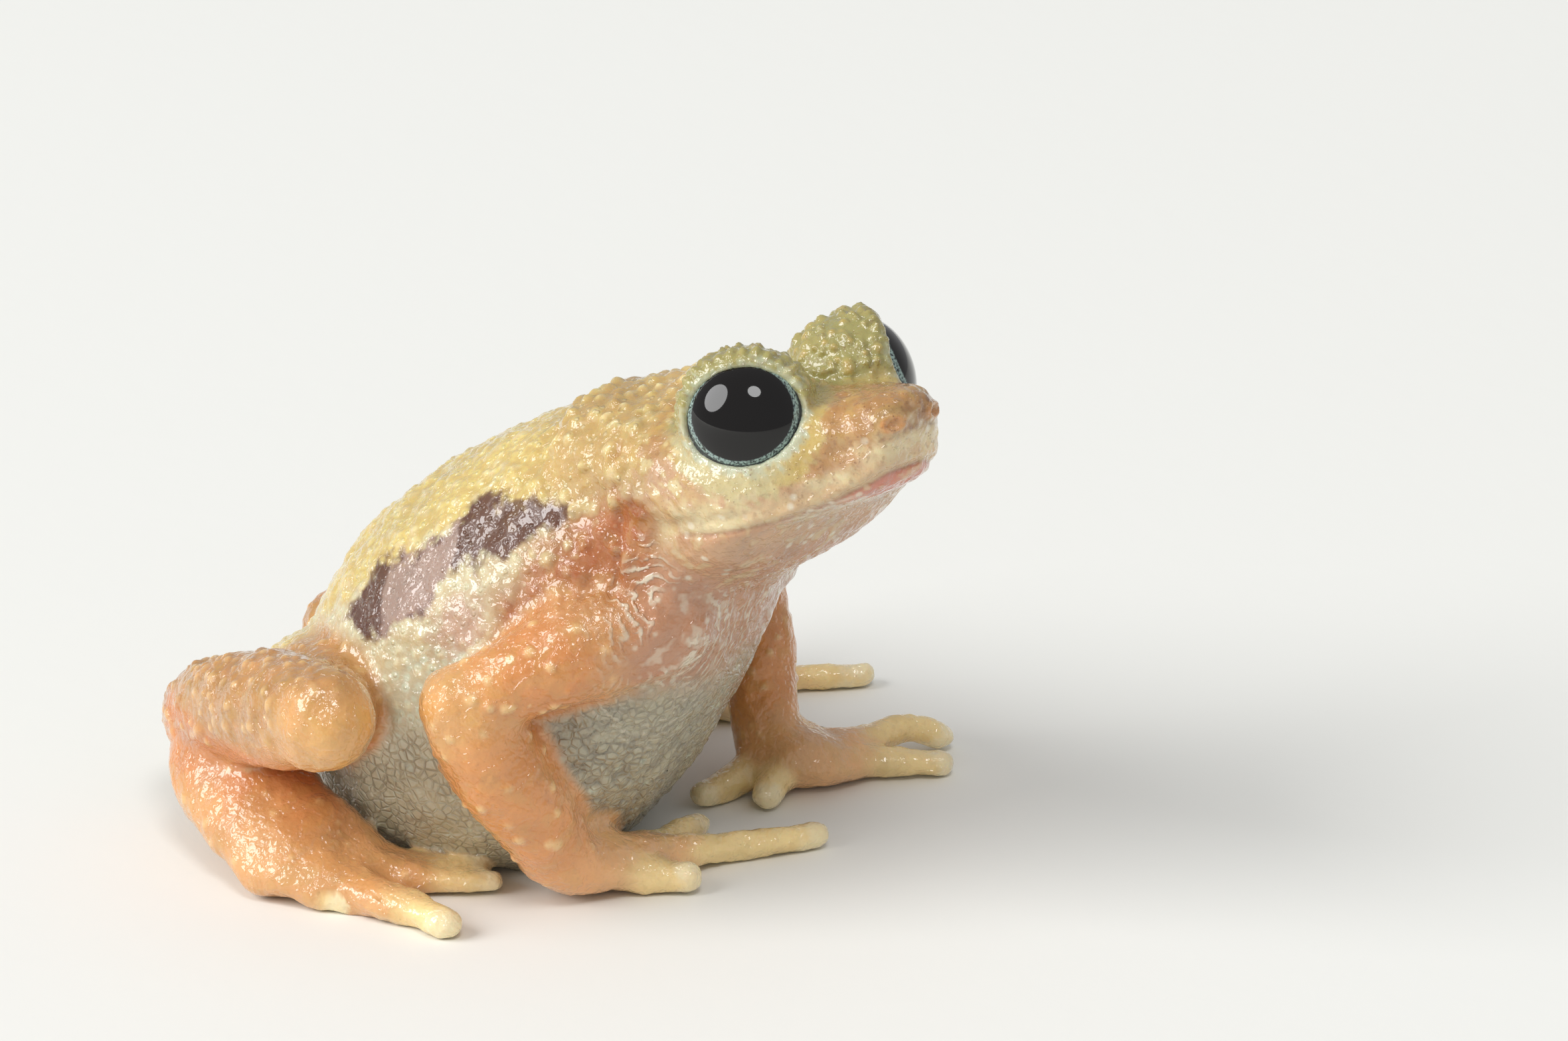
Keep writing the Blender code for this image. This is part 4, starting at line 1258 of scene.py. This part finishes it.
def skin_material(paint):
    """Wet amphibian skin: soft translucent flesh under a thin film of moisture, which glints sharply."""
    material, shader, put = new_material(
        "wet_toad_skin",
        Subsurface_Weight=0.22,
        Subsurface_Radius=(1.0, 0.45, 0.25),
        Subsurface_Scale=0.5 * MM,
        IOR=1.42,
        Coat_Weight=1.0,
        Coat_Roughness=0.045,
        Coat_IOR=1.62,
    )
    place = put("TexCoord", out="Object")
    at = put("VectorMath", place, Scale=1 / MM, operation="SCALE")
    sides = ("stripe", "blotch", "spot", "brown")
    regions = ("granular", "belly", "folds", "axilla", "from_shoulder", "speckled", "mottled")
    field = {name: put("Attribute", attribute_name=name, out="Fac") for name in sides + regions}

    # Noise and cells by their size in millimetres.
    noise = {
        size: put("TexNoise", Vector=at, Scale=1 / size, Detail=detail)
        for size, detail in ((1.3, 1.0), (0.9, 3.0), (0.6, 2.0), (0.35, 2.0), (0.18, 2.0))
    }
    cells = {
        size: put("TexVoronoi", Vector=at, Scale=1 / size, feature=feature, out="Distance")
        for size, feature in ((0.3, "F1"), (0.27, "DISTANCE_TO_EDGE"), (0.65, "F1"), (0.15, "F1"))
    }
    shift = put("Math", noise[0.9], -0.5, operation="ADD")
    rough_edge = put("Math", shift, 0.22, operation="MULTIPLY")
    rough_edge = put("Math", cells[0.3], 0.05, rough_edge, operation="MULTIPLY_ADD")
    rough_edge = put("Math", rough_edge, -0.015, operation="ADD")
    inside = {
        name: put("Math", field[name], rough_edge, operation="ADD") for name in ("stripe", "blotch", "spot")
    }
    browner = put("Math", noise[1.3], 1.1, field["brown"], operation="MULTIPLY_ADD")
    # Wrinkles round the arms' roots: a sine of the distance from the shoulder, made slightly wavy.
    wrinkle = put("Math", noise[1.3], 0.5, field["from_shoulder"], operation="MULTIPLY_ADD")
    wrinkle = put("Math", noise[0.35], 0.3, wrinkle, operation="MULTIPLY_ADD")
    wrinkle = put("Math", wrinkle, 2 * math.pi / WRINKLE_SPACING, operation="MULTIPLY")
    wrinkle = put("Math", wrinkle, operation="SINE")
    ridge = put("Math", noise[0.6], 0.5, operation="SUBTRACT")
    web = put("Math", ridge, operation="ABSOLUTE")
    ranges = {
        "seams": (cells[0.3], 0.35, 0.62),
        "tops": (cells[0.3], 0.3, 0.1),
        "stripe": (inside["stripe"], -0.03, 0.04),
        "stripe_middle": (inside["stripe"], 0.02, 0.08),
        "brown": (browner, 0.95, 1.3),
        "blotch": (inside["blotch"], -0.06, 0.1),
        "spot": (inside["spot"], -0.005, 0.02),
        "crease": (cells[0.27], 0.17, 0.0),
        "creased": (noise[0.6], 0.4, 0.6),
        "wrinkle": (wrinkle, -0.3, 1.0),
        "wrinkled": (noise[0.35], 0.38, 0.56),
        "dots": (cells[0.65], 0.24, 0.1),
        "white": (noise[0.6], 0.55, 0.66),
        "speck": (cells[0.15], 0.24, 0.1),
        "sparse": (noise[0.35], 0.48, 0.6),
        "yellow": (noise[0.6], 0.5, 0.64),
        "brownish": (noise[0.9], 0.52, 0.7),
        "web": (web, 0.0, 0.07),
        "mottle": (noise[0.18], 0.57, 0.68),
    }
    mark = {
        name: put("MapRange", Value=source, From_Min=low, From_Max=high, interpolation_type="SMOOTHSTEP")
        for name, (source, low, high) in ranges.items()
    }
    edge = put("Math", 1.0, mark["stripe_middle"], operation="SUBTRACT")
    stripe = put("Mix", {0: mark["brown"], 6: paint.stripe, 7: paint.stripe_brown}, data_type="RGBA", out=2)
    layers = [
        # Granules of the flank and back: pale domes with darker seams.
        (paint.seam, 0.3, mark["seams"], field["granular"]),
        (paint.granule, 0.35, mark["tops"], field["granular"]),
        # Stripe with a broken brown edge, blotch and spot.
        (stripe, 0.95, mark["stripe"]),
        (paint.stripe_brown, 0.85, mark["stripe"], edge, mark["creased"]),
        (paint.blotch, 0.65, mark["blotch"]),
        (paint.stripe_brown, 0.7, mark["spot"]),
        # Belly: painted shade in fine creases between small plates, with pale dots.
        (paint.belly_shade, 0.4, mark["crease"], mark["creased"], field["belly"]),
        (paint.mint, 0.6, mark["dots"], field["belly"]),
        # White wrinkles under the arms' roots, and white granules of the chest.
        (paint.chest_white, 0.8, mark["wrinkle"], mark["wrinkled"], field["axilla"]),
        (paint.chest_white, 0.4, mark["white"], field["folds"]),
        # Yellow and brown clouds, and pigment specks.
        (paint.patch, 0.45, mark["yellow"], field["mottled"]),
        (paint.speck, 0.25, mark["brownish"], field["mottled"]),
        (paint.speck, 0.65, mark["speck"], mark["sparse"], field["speckled"]),
        (paint.speck, 0.3, mark["mottle"], field["speckled"]),
        (paint.speck, 0.55, mark["speck"], mark["stripe"]),
        (paint.chest_white, 0.7, mark["dots"], field["folds"]),
    ]
    colour = put("Attribute", attribute_name="ground", out="Color")
    colour = layered(put, colour, layers)
    shade = put("MapRange", Value=noise[1.3], From_Min=0.25, From_Max=0.75, To_Min=0.9, To_Max=1.08)
    link(shader, "Base Color", put("VectorMath", colour, Scale=shade, operation="SCALE"))

    # Height, in millimetres: grain, granules of the flank, creases of the belly and wrinkles. The film of
    # moisture lies over it with a web and ripples of its own, which break its highlights up.
    granules = put("Math", mark["tops"], field["granular"], operation="MULTIPLY")
    creases = put("Math", mark["crease"], field["belly"], operation="MULTIPLY")
    grain = ((noise[0.35], 0.03), (noise[0.18], 0.025))
    wrinkles = put("Math", mark["wrinkle"], field["axilla"], operation="MULTIPLY")
    flesh = (*grain, (granules, 0.03), (creases, -0.03), (wrinkles, 0.03))
    film = ((mark["web"], 0.035), (noise[0.6], 0.07), (noise[0.35], 0.05), (noise[0.18], 0.01))
    under = {}
    for socket, parts in (("Normal", flesh), ("Coat Normal", film)):
        height = 0.0
        for source, size in parts:
            height = put("Math", source, size, height, operation="MULTIPLY_ADD")
        under["Normal"] = put("Bump", Height=height, Strength=1.0, Distance=MM, **under)
        link(shader, socket, under["Normal"])
    wet = put("MapRange", Value=noise[1.3], From_Min=0.3, From_Max=0.7, To_Min=0.32, To_Max=0.5)
    link(shader, "Roughness", wet)
    return material


def eye_material(paint):
    """Eye under its cornea: black pupil, thin pale blue-green iris ring and dark rim under a wet gloss."""
    material, shader, put = new_material(
        "wet_cornea_over_iris",
        Roughness=0.06,
        Specular_IOR_Level=0.12,
        Coat_Weight=1.0,
        Coat_Roughness=0.015,
        Coat_IOR=1.4,
    )
    place = put("TexCoord", out="Object")
    at = put("VectorMath", place, Scale=1 / MM, operation="SCALE")
    noise = put("TexNoise", Vector=at, Scale=9.0, Detail=4.0)
    radius = put("Attribute", attribute_name="from_axis", out="Fac")

    # The noise moves each ring's edge outward by 0.03 mm on average, which the edges below allow for.
    uneven = put("Math", noise, 0.06, radius, operation="MULTIPLY_ADD")
    grain = put("TexNoise", Vector=at, Scale=16.0, Detail=2.0)
    grain = put("MapRange", Value=grain, From_Min=0.35, From_Max=0.6)
    iris = put("Mix", {0: grain, 6: paint.eye_rim, 7: paint.iris}, data_type="RGBA", out=2)
    colour = paint.pupil
    soft = 0.02
    for top, size in ((iris, paint.pupil_radius), (paint.eye_rim, paint.iris_radius)):
        edge = size / MM + 0.03
        share = put(
            "MapRange",
            Value=uneven,
            From_Min=edge - soft,
            From_Max=edge + soft,
            interpolation_type="SMOOTHSTEP",
        )
        colour = put("Mix", {0: share, 6: colour, 7: top}, data_type="RGBA", out=2)
    link(shader, "Base Color", colour)
    return material


def set_field(mesh, name, values):
    """Stores one number, or one colour, for each point of the mesh."""
    if values.ndim == 1:
        mesh.attributes.new(name, "FLOAT", "POINT").data.foreach_set("value", values.astype(np.float32))
        return
    rgba = np.concatenate([values, np.ones((len(values), 1))], axis=1).astype(np.float32)
    mesh.attributes.new(name, "FLOAT_COLOR", "POINT").data.foreach_set("color", rgba.ravel())


def colour_property(name, description, text):
    """A colour that a user can change, from its sRGB hex value."""
    return bpy.props.FloatVectorProperty(
        name=name,
        description=description,
        subtype="COLOR",
        size=4,
        min=0.0,
        max=1.0,
        default=hex_colour(text),
    )


def length_property(name, description, metres):
    """A length that a user can change, in metres."""
    return bpy.props.FloatProperty(name=name, description=description, unit="LENGTH", default=metres)


def power_property(name, description, watts):
    """A lamp's power that a user can change, in watts."""
    return bpy.props.FloatProperty(name=name, description=description, unit="POWER", default=watts)


class ToadSkinSettings(bpy.types.PropertyGroup):
    """Sizes and colours of the toad's skin."""

    voxel: length_property("Fusing size", "Edge of the cubes that fuse the flesh", 0.085 * MM)
    back: colour_property("Back", "Warm yellow of the back", "#dcc474")
    flank: colour_property("Flank", "Cream of the granular flank", "#d5cba6")
    # Pale mint, also laid on the rear of the belly as painted light.
    mint: colour_property("Mint", "Pale mint between flank and belly", "#c8ccb4")
    belly: colour_property("Belly", "Grey-green of the belly", "#c1b99c")
    # Painted shade of the belly: over its front, in its folds and in its creases.
    belly_shade: colour_property("Belly creases", "Dark creases of the belly", "#766b59")
    nape: colour_property("Nape", "Golden tan behind the head", "#c6aa69")
    nape_wart: colour_property("Nape warts", "Pale warts behind the head", "#ecdba4")
    shoulder: colour_property("Shoulder", "Orange-brown skin of the shoulder", "#a65c28")
    throat: colour_property("Throat", "Pinkish tan of the throat and chest", "#bd8762")
    chest_white: colour_property("Chest granules", "White granules of the chest", "#e6dcc4")
    arm: colour_property("Arm", "Orange of the arm", "#dd9450")
    palm: colour_property("Palm", "Yellow-orange of the hand", "#e9b47a")
    elbow: colour_property("Elbow", "Yellower skin at the elbow", "#dca968")
    leg: colour_property("Leg", "Orange-tan of the hind leg", "#cf935a")
    leg_top: colour_property("Leg top", "Brown-yellow top of the hind leg", "#b1803f")
    knee: colour_property("Knee", "Smooth orange-tan knee", "#dfa860")
    # Painted shade of deep orange, in the fold between the shank and the foot.
    fold: colour_property("Leg fold", "Deep orange fold below the knee", "#d47d45")
    foot: colour_property("Foot", "Orange-tan of the foot", "#dba266")
    digit: colour_property("Digits", "Yellow of fingers and toes", "#f6d998")
    tip: colour_property("Digit tips", "Pale tips of fingers and toes", "#f4e4ba")
    limb_wart: colour_property("Limb warts", "Pale yellow warts of the limbs", "#edc588")
    crown: colour_property("Crown", "Tan-brown top of the head", "#b6874e")
    patch: colour_property("Crown patches", "Yellow patches on the head", "#c9aa5c")
    cheek: colour_property("Cheek", "Tan side of the head", "#c89f78")
    lip: colour_property("Upper lip", "Cream-tan upper lip", "#d4b488")
    cream: colour_property("Cream patches", "Cream patches of lip and snout", "#e4d3a4")
    lower_lip: colour_property("Lower lip", "Pink front of the lower jaw", "#cc8068")
    # Painted shade in the mouth's line and in the nostrils' pits.
    mouth: colour_property("Mouth line", "Shade in the line of the mouth", "#8f5a44")
    upper_lid: colour_property("Upper lid", "Green-yellow upper lid", "#a39a5a")
    lower_lid: colour_property("Lower lid", "Pale yellow lower lid", "#cbbc8a")
    lid_ring: colour_property("Lid edge", "Pale mint edge of the lids", "#c2cab2")
    granule: colour_property("Granules", "Tops of the flank's granules", "#efe6bc")
    seam: colour_property("Seams", "Skin between the granules", "#b98e54")
    stripe: colour_property("Stripe", "Greyish brown-purple of the side stripe", "#a3877a")
    stripe_brown: colour_property("Stripe brown", "Dark brown parts of the stripe", "#521f04")
    blotch: colour_property("Blotch", "Pinkish brown blotch below the stripe", "#b08070")
    speck: colour_property("Specks", "Brown pigment specks", "#7a4a2c")


class ToadEyeSettings(bpy.types.PropertyGroup):
    """Sizes and colours of the toad's eyes."""

    pupil_radius: length_property("Pupil radius", "From the eye's axis to the iris", 1.3 * MM)
    iris_radius: length_property("Iris radius", "From the eye's axis to the dark rim", 1.41 * MM)
    pupil: colour_property("Pupil", "Near black of the pupil", "#0e0b0a")
    iris: colour_property("Iris", "Pale blue-green ring", "#9db4ae")
    eye_rim: colour_property("Rim", "Dark grey-blue rim of the eye", "#2c3238")


class ToadStageSettings(bpy.types.PropertyGroup):
    """Sizes, colours and lamps of the stage."""

    floor_radius: length_property("Floor radius", "Radius of the pale floor", 1.5)
    floor: colour_property("Floor", "Pale paper of the floor", "#f0f0eb")
    key_power: power_property("Key light", "Power of the large soft light behind the toad", 14.5)
    top_power: power_property("Top light", "Power of the smaller light above it", 4.0)


class TOAD_OT_skin(bpy.types.Operator):
    """Makes the one skin that stands for every part of flesh"""

    bl_idname = "toad.skin"
    bl_label = "Toad skin"
    bl_options = {"REGISTER", "UNDO"}

    def execute(self, context):
        paint = context.scene.toad_skin
        obj, head = skin_mesh(paint.voxel / MM)
        if len(obj.data.vertices) < FEWEST_POINTS:
            raise RuntimeError("the flesh wasn't fused")

        # Only what lies behind the face is thinned, so that the face keeps its finest forms.
        thinned = obj.vertex_groups.new(name="thinned")
        thinned.add(np.nonzero(head[:, 0] < THINNED_BEHIND)[0].tolist(), 1.0, "REPLACE")
        modified(
            obj,
            "DECIMATE",
            ratio=TRIANGLE_BUDGET / (2 * len(obj.data.polygons)),
            vertex_group="thinned",
            vertex_group_factor=1.0,
            use_collapse_triangulate=True,
        )
        obj.vertex_groups.clear()
        points, _ = mesh_arrays(obj.data)
        colours, fields = skin_paint(points, paint)
        set_field(obj.data, "ground", colours)
        for name, values in fields.items():
            set_field(obj.data, name, values)
        obj.data.vertices.foreach_set("co", (points * MM).astype(np.float32).ravel())
        obj.data.materials.clear()
        obj.data.materials.append(skin_material(paint))
        obj.data.shade_smooth()
        obj.data.name = "skin"
        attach(obj, "root")
        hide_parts(*(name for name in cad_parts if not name.startswith("eye_")))
        return {"FINISHED"}


class TOAD_OT_eyes(bpy.types.Operator):
    """Makes both eyes, each a low dome turned round its own axis"""

    bl_idname = "toad.eyes"
    bl_label = "Toad eyes"
    bl_options = {"REGISTER", "UNDO"}

    def execute(self, context):
        material = eye_material(context.scene.toad_eyes)
        angle = np.linspace(0.02, 0.98, 60) * np.pi
        for side in (RIGHT, LEFT):
            centre = in_head((EYE_AHEAD, side * EYE_SIDE, 0.0))
            radius, depth = EYE_RADIUS * np.sin(angle), EYE_DEPTH * np.cos(angle)
            rings = revolved(radius, depth, centre, eye_axes(side), 96)[::-1]
            points, faces = closed_grid(rings)
            obj = mesh_object("eyeball_" + SIDE_WORDS[side], points, faces, MM)
            place = eye_place(points, side)
            from_axis = np.hypot(place[:, 0] / IRIS_OVAL[0], (place[:, 1] - IRIS_RISE) / IRIS_OVAL[1])
            set_field(obj.data, "from_axis", np.where(place[:, 2] > 0, from_axis, 2.0))
            obj.data.materials.append(material)
            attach(obj, "root")
            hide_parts("eye_" + SIDE_WORDS[side])
        return {"FINISHED"}


class TOAD_OT_stage(bpy.types.Operator):
    """Makes the pale floor, the soft lights and the camera"""

    bl_idname = "toad.stage"
    bl_label = "Stage"
    bl_options = {"REGISTER", "UNDO"}

    def execute(self, context):
        settings = context.scene.toad_stage
        make_floor(settings)
        make_light("key_light", *KEY_LIGHT, settings.key_power)
        make_light("top_light", *TOP_LIGHT, settings.top_power)
        make_world()
        make_camera()
        context.scene.view_settings.view_transform = "Standard"
        return {"FINISHED"}


def camera_axes():
    """Right, up and back of the camera."""
    azimuth, elevation = math.radians(CAMERA_AZIMUTH), math.radians(CAMERA_ELEVATION)
    right = np.array([math.cos(azimuth), math.sin(azimuth), 0.0])
    level = np.array([math.sin(azimuth), -math.cos(azimuth), 0.0])
    back = level * math.cos(elevation) + np.array(UP) * math.sin(elevation)
    return np.array([right, np.cross(back, right), back])


def make_camera():
    """A camera placed so that the origin falls on its pixel of the photograph."""
    right, up, back = camera_axes()
    focal = PIXELS_PER_METRE * CAMERA_DISTANCE
    across = (ORIGIN_PIXEL[0] - IMAGE[0] / 2) / focal
    rise = -(ORIGIN_PIXEL[1] - IMAGE[1] / 2) / focal
    data = bpy.data.cameras.new("camera")
    data.sensor_width = SENSOR
    data.lens = SENSOR * focal / IMAGE[0]
    data.clip_start = NEAREST_SEEN
    obj = bpy.data.objects.new("camera", data)
    bpy.context.scene.collection.objects.link(obj)
    place = -CAMERA_DISTANCE * (-back + across * right + rise * up)
    rows = np.eye(4)
    rows[:3, :3] = np.array([right, up, back]).T
    rows[:3, 3] = place
    obj.matrix_world = Matrix(rows.tolist())
    bpy.context.scene.camera = obj


def make_light(name, direction, size, power):
    """A round soft light in that direction, aimed at the toad."""
    data = bpy.data.lights.new(name, "AREA")
    data.energy = power
    data.shape = "DISK"
    data.size = size
    obj = bpy.data.objects.new(name, data)
    bpy.context.scene.collection.objects.link(obj)
    back = unit(np.array(direction))
    side = unit(np.cross(UP, back))
    rows = np.eye(4)
    rows[:3, :3] = np.array([side, np.cross(back, side), back]).T
    rows[:3, 3] = back * LIGHT_DISTANCE + LIGHT_TARGET
    obj.matrix_world = Matrix(rows.tolist())


def make_world():
    """Even pale light of the room."""
    world = bpy.data.worlds.new("studio")
    bpy.context.scene.world = world
    world.use_nodes = True
    background = world.node_tree.nodes["Background"]
    background.inputs["Color"].default_value = hex_colour(ROOM_COLOUR)
    background.inputs["Strength"].default_value = ROOM_LIGHT


def make_floor(settings):
    """Pale matt paper: rings round the origin, each radius the square of an even step."""
    radius = settings.floor_radius * np.linspace(0.02, 1.0, 24) ** 2
    angle = np.linspace(0.0, 2 * np.pi, 96, endpoint=False)
    across = radius[:, None] * np.cos(angle), radius[:, None] * np.sin(angle)
    rings = np.stack([*across, np.zeros_like(across[0])], axis=2)
    points, faces = closed_grid(rings)
    faces = faces[(faces != len(points) - 1).all(axis=1)][:, ::-1]
    obj = mesh_object("floor", points, faces)
    material, shader, put = new_material("matt_paper", Base_Color=settings.floor, Roughness=0.75)
    fibre = put("TexNoise", Vector=put("TexCoord", out="Object"), Scale=900.0, Detail=4.0)
    link(shader, "Normal", put("Bump", Height=fibre, Strength=0.15, Distance=0.05 * MM))
    obj.data.materials.append(material)


class TOAD_PT_panel(bpy.types.Panel):
    """Lists the pieces of the toad and its stage"""

    bl_idname = "TOAD_PT_panel"
    bl_label = "Kihansi spray toad"
    bl_space_type = "VIEW_3D"
    bl_region_type = "UI"
    bl_category = "Toad"

    def draw(self, context):
        for operator in (TOAD_OT_skin, TOAD_OT_eyes, TOAD_OT_stage):
            self.layout.operator(operator.bl_idname)


SETTINGS = {"toad_skin": ToadSkinSettings, "toad_eyes": ToadEyeSettings, "toad_stage": ToadStageSettings}
CLASSES = (*SETTINGS.values(), TOAD_OT_skin, TOAD_OT_eyes, TOAD_OT_stage, TOAD_PT_panel)


def register():
    """Registers every class, and each group of settings with the scene."""
    for cls in CLASSES:
        bpy.utils.register_class(cls)
    for name, cls in SETTINGS.items():
        setattr(bpy.types.Scene, name, bpy.props.PointerProperty(type=cls))


def unregister():
    """Takes back what register did, in the opposite order."""
    for name in SETTINGS:
        delattr(bpy.types.Scene, name)
    for cls in reversed(CLASSES):
        bpy.utils.unregister_class(cls)


def main():
    """Builds every piece and the stage."""
    register()
    for build in (bpy.ops.toad.skin, bpy.ops.toad.eyes, bpy.ops.toad.stage):
        build()


if __name__ == "__main__":
    main()
